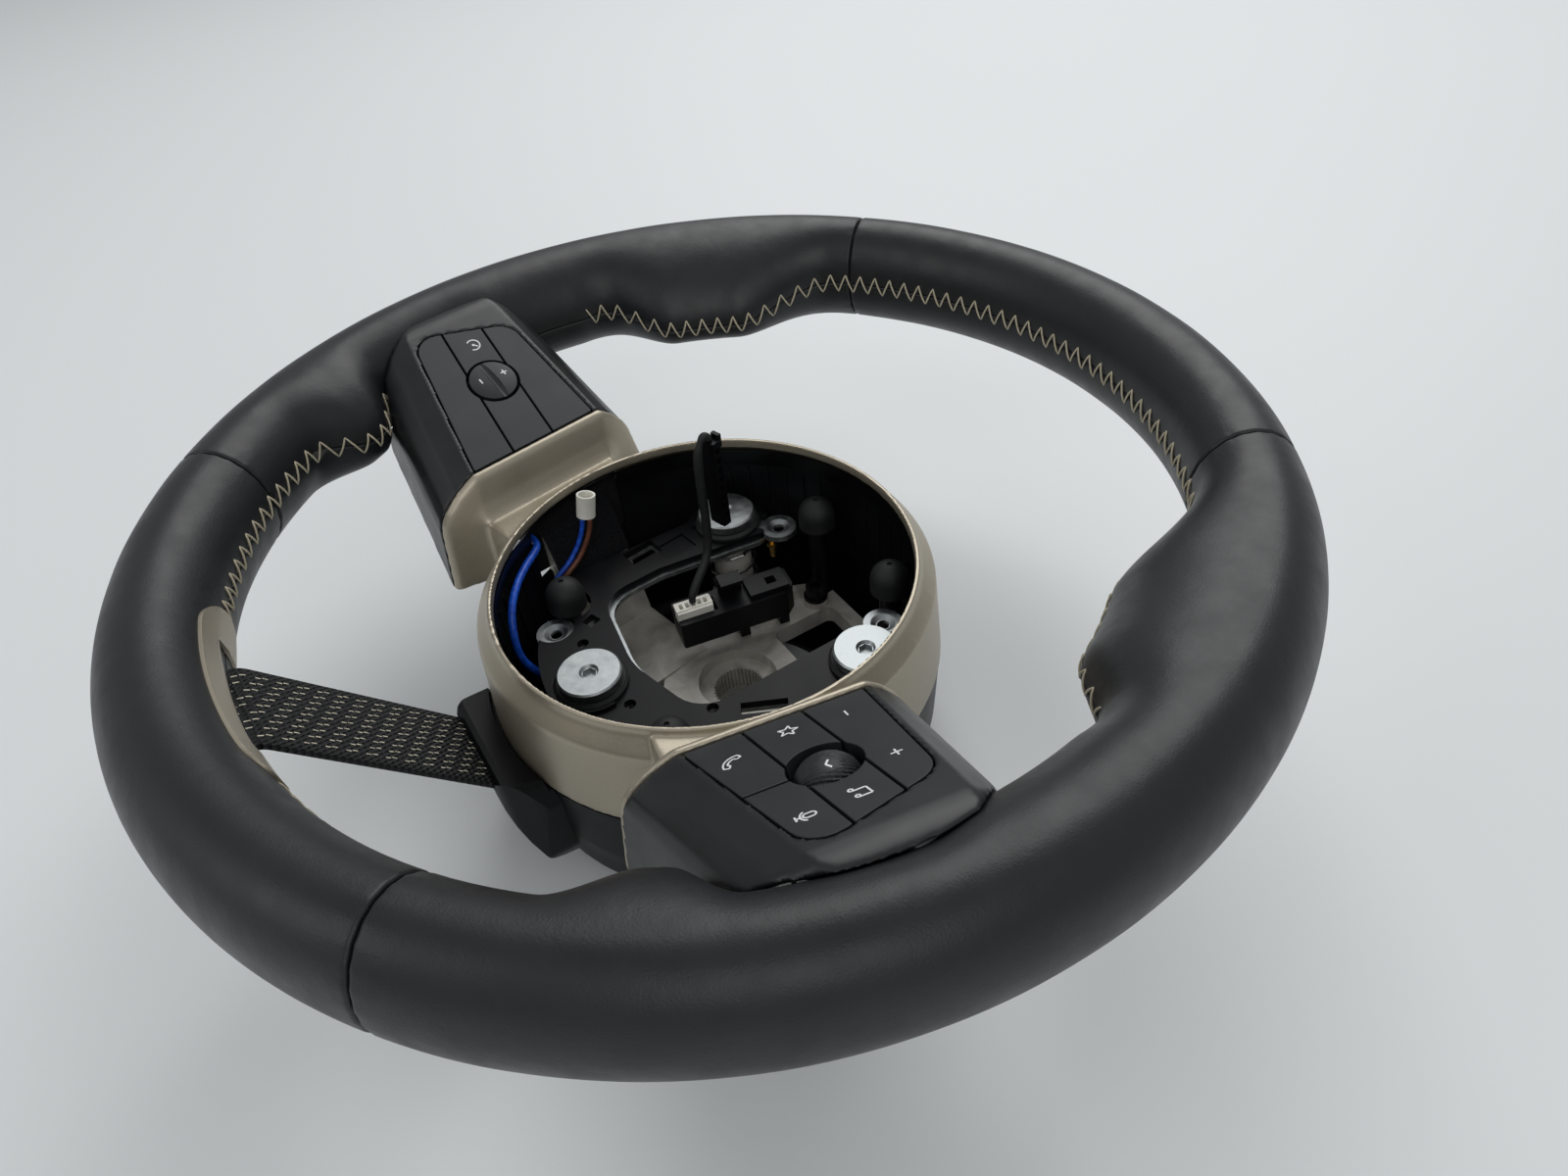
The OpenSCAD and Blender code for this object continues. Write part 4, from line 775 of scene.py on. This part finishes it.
roller = {"u": 32.0, "v": 2.7, "sink": 7.6, "radius": 9.8, "width": 16.8,
          "teeth": 48, "tooth": 0.6, "lean": 0.3, "plainEnd": 0.6, "endRound": 0.3, "fade": 0.8,
          "padTurn": 72, "padSpan": 13, "padFade": 4, "padHalf": 2.6, "padSink": 0.35,
          "around": 324, "cuts": 21, "shadeAngle": 35}


def knurledRoller():
    bpy.ops.mesh.primitive_cylinder_add(vertices=roller["around"], radius=1, depth=roller["width"],
                                        end_fill_type="TRIFAN")
    piece = bpy.context.object
    piece.name = "scrollRoller"
    bpy.ops.object.mode_set(mode="EDIT")
    bpy.ops.mesh.select_all(action="DESELECT")
    build = bmesh.from_edit_mesh(piece.data)
    for edge in build.edges:
        a, b = (vertex.co for vertex in edge.verts)
        edge.select = abs(a.z - b.z) > 1
    bmesh.update_edit_mesh(piece.data)
    bpy.ops.mesh.subdivide(number_cuts=roller["cuts"])
    bpy.ops.object.mode_set(mode="OBJECT")
    half, fade = roller["width"] / 2, roller["fade"]
    middle = Vector((roller["u"], roller["v"], -roller["sink"]))
    toWorld = plateMatrix(1)
    for vertex in piece.data.vertices:
        y = vertex.co.z
        ring = math.hypot(vertex.co.x, vertex.co.y)
        turn = math.degrees(math.atan2(vertex.co.y, vertex.co.x))
        r = math.sqrt(roller["radius"] ** 2 - y * y)
        r -= roller["endRound"] * smoothStep((abs(y) - half + fade) / fade)
        away = abs((turn - roller["padTurn"] + 180) % 360 - 180)
        offPad = max(smoothStep((away - roller["padSpan"]) / roller["padFade"]),
                     smoothStep((abs(y) - roller["padHalf"]) / fade))
        wave = abs(((turn / 360 * roller["teeth"] + y * roller["lean"]) % 1) - 0.5) * 2
        offEnds = smoothStep((half - roller["plainEnd"] - abs(y)) / fade)
        r -= roller["tooth"] * wave * offPad * offEnds
        r -= roller["padSink"] * (1 - offPad)
        r *= ring
        a = math.radians(turn)
        vertex.co = toWorld @ (middle + Vector((r * math.cos(a), y, r * math.sin(a))))
    faceOutwards(piece)
    smoothByAngle(piece, roller["shadeAngle"])
    finishPiece(piece, "scroll_roller", "key_plastic", "scroll_roller")
    piece["wheelKey"] = "scroll_roller"


knurledRoller()
print("the roller is knurled")


# Signs printed on the keys, each a set of strokes in the plate's plane, in millimetres

def polar(x, y, r, degrees):
    return x + r * math.cos(math.radians(degrees)), y + r * math.sin(math.radians(degrees))


def arc(x, y, r, first, last, steps=14):
    return [polar(x, y, r, first + (last - first) * i / steps) for i in range(steps + 1)]


def star(outer, inner):
    return [polar(0, 0, inner if i % 2 else outer, 90 + 36 * i) for i in range(11)]


handset = (arc(2, 2, 4.6, 175, 275) + [(3, -1.2), (1.6, -0.6)] + arc(2, 2, 3.4, 255, 195, 8)
           + [(-0.6, 1.6), (-1.2, 3), (-2.58, 2.4)])
capsule = arc(0, 1.7, 0.9, 0, 180, 8) + arc(0, 0.3, 0.9, 180, 360, 8) + [(0.9, 1.7)]
signs = {
    "stroke": 0.58, "rise": 0.05, "flat": 0.1, "dropFrom": 15,
    # side of the wheel, middle on the plate, strokes
    "handsetSign": (1, (14.6, -16.9), [handset]),
    "starSign": (1, (9.1, 0.7), [star(2.9, 1.25)]),
    "quieterSign": (1, (11, 16.9), [[(-1.5, 0), (1.5, 0)]]),
    "louderSign": (1, (39.4, 18.9), [[(-1.6, 0), (1.6, 0)], [(0, -1.6), (0, 1.6)]]),
    "microphoneSign": (1, (51.5, -9.4), [capsule, arc(0, 0.7, 2.0, 200, 340, 8),
                                         [(0, -1.3), (0, -2.4)], [(-1, -2.4), (1, -2.4)]]),
    "notesSign": (1, (50.3, 4.7), [[(-1.4, -1.6), (-1.4, 1.9), (1.9, 2.4), (1.9, -1.0)],
                                   arc(-2.0, -1.7, 0.6, 0, 360, 8),
                                   arc(1.3, -1.1, 0.6, 0, 360, 8)]),
    "dialSign": (-1, (50.5, 6.2), [arc(0, 0, 2.5, -40, 220, 16), [(0, 0), (1.3, 1.2)],
                                   arc(0, 0, 0.35, 0, 360, 6)]),
    "chevronSign": (1, (35.2, 2.7), [[(1.2, 0.5), (0, -0.7), (-1.2, 0.5)]]),
    "slowerSign": (-1, (33.2, -1.9), [[(-1.2, 0), (1.2, 0)]]),
    "fasterSign": (-1, (32.8, 8.0), [[(-1.3, 0), (1.3, 0)], [(0, -1.3), (0, 1.3)]]),
}
keyTrees = {}
for piece in [o for o in bpy.data.objects if o.get("wheelKey")]:
    corners = [v.co for v in piece.data.vertices]
    faces = [list(f.vertices) for f in piece.data.polygons]
    keyTrees[piece["wheelKey"]] = BVHTree.FromPolygons(corners, faces)


def strokeMesh(name, strokes, radius):
    # strokes drawn as a curve with a round section, then made a mesh
    path = bpy.data.curves.new(name, "CURVE")
    path.dimensions = "3D"
    path.bevel_depth = radius
    path.bevel_resolution = 1
    path.use_fill_caps = True
    # one short spline for each side, so that corners keep their width
    for stroke in strokes:
        for ends in zip(stroke, stroke[1:]):
            spline = path.splines.new("POLY")
            spline.points.add(1)
            for point, (x, y) in zip(spline.points, ends):
                point.co = (x, y, 0, 1)
    activate(newObject(name, path))
    bpy.ops.object.convert(target="MESH")
    return bpy.context.object


def keyUnder(start, down):
    # the first key that a line from this place meets
    hits = [(tree.ray_cast(start, down), node) for node, tree in keyTrees.items()]
    return min((distance, node) for (spot, _, _, distance), node in hits if spot is not None)[1]


def printSign(name, side, middle, strokes):
    # the sign is dropped on the key under it, point by point, and pressed flat
    piece = strokeMesh(name, strokes, signs["stroke"] / 2)
    toWorld = plateMatrix(side)
    down = (toWorld.to_3x3() @ Vector((0, 0, -1))).normalized()
    key = keyUnder(toWorld @ Vector((*middle, signs["dropFrom"])), down)
    for vertex in piece.data.vertices:
        x, y = middle[0] + side * vertex.co.x, middle[1] + vertex.co.y
        lift = signs["rise"] + vertex.co.z * signs["flat"]
        spot = keyTrees[key].ray_cast(toWorld @ Vector((x, y, signs["dropFrom"])), down)[0]
        place = spot if spot is not None else toWorld @ Vector((x, y, 0))
        vertex.co = place - down * lift / 1000
    faceOutwards(piece)
    finishPiece(piece, key, "key_plastic", material=printMaterial)


for name in [key for key in signs if key.endswith("Sign")]:
    printSign(name, *signs[name])
print("signs are printed")


# Leads: the CAD's faceted tubes, copied and rounded

leads = {"nodes": ("feed_lead", "ground_lead", "switch_lead", "module_lead"),
         "levels": 2, "angle": 60}


def smoothLead(node):
    piece = mergedCopy(node, camelName(node))
    angle = math.radians(leads["angle"])
    editWhole(piece, bpy.ops.mesh.tris_convert_to_quads,
              face_threshold=angle, shape_threshold=angle)
    finer = piece.modifiers.new("finer", "SUBSURF")
    finer.levels = finer.render_levels = leads["levels"]
    applyAll(piece)
    smoothByAngle(piece, leads["angle"])
    finishPiece(piece, "wheel", slotOf[node], node)


for node in leads["nodes"]:
    smoothLead(node)
print("leads are smooth")


# Dark felt-look blocks where the arms pass the cover: painted shade that closes the openings so
# they read dark

shadeBlock = {"wide": 44.4, "low": -46.4, "high": -19.6, "from": -13, "thick": 4,
        "cuts": 6, "pinch": 0.5}


def armShadeBlock(side):
    bpy.ops.mesh.primitive_cube_add(size=1)
    piece = bpy.context.object
    piece.name = "armSealRight" if side > 0 else "armSealLeft"
    editWhole(piece, bpy.ops.mesh.subdivide, number_cuts=shadeBlock["cuts"])
    toWorld = plateMatrix(side, rise=0)
    for vertex in piece.data.vertices:
        x, y, z = vertex.co
        pinch = shadeBlock["pinch"] * noise.noise(Vector((x * 3, y * 9, z * 9)))
        height = (shadeBlock["low"] + shadeBlock["high"]) / 2 + z * (shadeBlock["high"] - shadeBlock["low"])
        depth = shadeBlock["from"] + (x + 0.5) * shadeBlock["thick"] + pinch
        vertex.co = toWorld @ Vector((depth, y * shadeBlock["wide"], height))
    faceOutwards(piece)
    smoothByAngle(piece, 50)
    # a dark felt-look block standing for the shade in the opening
    finishPiece(piece, "wheel", "black_rubber", material=paintedShadeMaterial)


armShadeBlock(1)
armShadeBlock(-1)


# Dark felt-look sheet over the root of the left arm, under the leads: painted shade that darkens
# the arm where it shows

rootShade = {"wide": 31.2, "thick": 1.0, "columns": 14, "rows": 18,
        "ripple": 0.25, "out": (-0.6, 0, 0.8),
        "line": ((-23.2, -50.0), (-17.9, -34.0), (-16.2, -30.4), (-11, -27.6))}


def armTape():
    columns, rows = rootShade["columns"], rootShade["rows"]
    bpy.ops.mesh.primitive_grid_add(x_subdivisions=columns, y_subdivisions=rows, size=1)
    piece = bpy.context.object
    piece.name = "armTape"
    toWorld = plateMatrix(-1, rise=0)
    line = [Vector((s, 0, z)) for s, z in rootShade["line"]]
    for index, vertex in enumerate(piece.data.vertices):
        row, column = divmod(index, columns + 1)
        along = row / rows * (len(line) - 1.001)
        step = int(along)
        local = line[step].lerp(line[step + 1], along - step)
        local.y = (column / columns - 0.5) * rootShade["wide"]
        ripple = rootShade["ripple"] * noise.noise(Vector((local.y / 6, along * 2, 1.7)))
        vertex.co = toWorld @ (local + Vector(rootShade["out"]) * ripple)
    piece.data.update()
    wall = piece.modifiers.new("thickness", "SOLIDIFY")
    wall.thickness = rootShade["thick"] / 1000
    wall.offset = 0
    applyAll(piece)
    faceOutwards(piece)
    smoothByAngle(piece, 50)
    # the sheet is painted shade on the arm's root
    finishPiece(piece, "wheel", "black_rubber", material=paintedShadeMaterial)


armTape()


# Tinned contacts at the back of the module plug's windows

contacts = {"count": 8, "size": (0.5, 1.5, 1.7), "round": 0.15, "depth": 1.35, "low": 4.45,
            "pitch": 4.1, "plugPlace": (-29.2, 16.4, 76), "plugTurn": 16}


def plugContacts():
    plug = (Matrix.Scale(0.001, 4) @ Matrix.Translation(Vector(contacts["plugPlace"]))
            @ Matrix.Rotation(math.radians(contacts["plugTurn"]), 4, "Z"))
    heights = [contacts["low"] + i * contacts["pitch"] for i in range(contacts["count"])]
    places = [plug @ Matrix.Translation(Vector((contacts["depth"], 0, z))) for z in heights]
    piece = repeatAt(roundedBlock(contacts["size"], contacts["round"]), places, "plugContacts")
    finishPiece(piece, "wheel", "zinc_steel")


plugContacts()


# Ribs down the liner, left out where the arms pass

ribs = {"hubY": -6.3, "radius": 75.0, "low": 44, "high": 73.5, "wide": 0.8, "proud": 0.6,
        "round": 0.2, "pitch": 6, "free": 34}


def linerRibs():
    lift = Vector((0, ribs["hubY"], (ribs["low"] + ribs["high"]) / 2))
    out = Matrix.Translation(Vector((ribs["radius"], 0, 0)))
    middle = Matrix.Scale(0.001, 4) @ Matrix.Translation(lift)
    turns = [t for t in range(0, 360, ribs["pitch"])
             if abs((t + 180) % 360 - 180) > ribs["free"] and abs(t - 180) > ribs["free"]]
    places = [middle @ Matrix.Rotation(math.radians(t), 4, "Z") @ out for t in turns]
    rib = roundedBlock((ribs["proud"] * 2, ribs["wide"], ribs["high"] - ribs["low"]), ribs["round"])
    piece = repeatAt(rib, places, "linerRibs")
    smoothByAngle(piece, 40)
    finishPiece(piece, "wheel", "black_moulding")


linerRibs()
print("shadeBlocks and liner ribs are in")


# Camera at the photograph's angle

camera = {"target": (0.05307, -0.00471, 0.114), "azimuth": 61.33, "elevation": 42.59, "roll": -5.95,
          "distance": 0.30062, "lens": 23.49, "sensor": 36, "nearest": 0.01}


def placeCamera():
    azimuth, elevation, roll = (math.radians(camera[k]) for k in ("azimuth", "elevation", "roll"))
    back = Vector((math.sin(azimuth) * math.cos(elevation),
                   -math.cos(azimuth) * math.cos(elevation), math.sin(elevation)))
    right = (-back).cross(Vector((0, 0, 1))).normalized()
    up = right.cross(-back)
    x = math.cos(roll) * right + math.sin(roll) * up
    y = -math.sin(roll) * right + math.cos(roll) * up
    data = bpy.data.cameras.new("camera")
    data.lens = camera["lens"]
    data.sensor_width = camera["sensor"]
    data.clip_start = camera["nearest"]
    turned = Matrix((x, y, back)).transposed().to_4x4()
    place = Vector(camera["target"]) + back * camera["distance"]
    holder = newObject("camera", data)
    holder.matrix_world = Matrix.Translation(place) @ turned
    bpy.context.scene.camera = holder


placeCamera()


# Pale floor and soft studio light

studio = {
    "floor": "#dfe2e3", "floorSize": 12, "floorRoughness": 0.45,
    "world": 0.5, "worldColour": "#e6e9ea", "aim": (0, 0, 0.1),
    # name, place, size, power
    "lamps": (("key", (-0.9, 1.0, 1.6), 1.7, 24), ("fill", (1.5, -0.6, 1.3), 1.2, 7),
              ("back", (-0.2, -1.6, 1.2), 1.0, 4)),
}


def buildStudio():
    bpy.ops.mesh.primitive_plane_add(size=studio["floorSize"], location=(0, 0, 0))
    floor = bpy.context.object
    floor.name = "studioFloor"
    material = bpy.data.materials.new("paleFloor")
    material.use_nodes = True
    shader = material.node_tree.nodes["Principled BSDF"]
    shader.inputs["Base Color"].default_value = fromHex(studio["floor"])
    shader.inputs["Roughness"].default_value = studio["floorRoughness"]
    floor.data.materials.append(material)
    world = bpy.data.worlds.new("softRoom")
    world.use_nodes = True
    soft = world.node_tree.nodes["Background"]
    soft.inputs["Color"].default_value = fromHex(studio["worldColour"])
    soft.inputs["Strength"].default_value = studio["world"]
    bpy.context.scene.world = world
    for name, place, size, power in studio["lamps"]:
        light = bpy.data.lights.new(name, "AREA")
        light.size = size
        light.energy = power
        lamp = newObject(name, light)
        lamp.location = place
        away = Vector(place) - Vector(studio["aim"])
        lamp.rotation_euler = away.to_track_quat("Z", "Y").to_euler()
    bpy.context.scene.view_settings.view_transform = "Standard"


buildStudio()
print("studio is set")
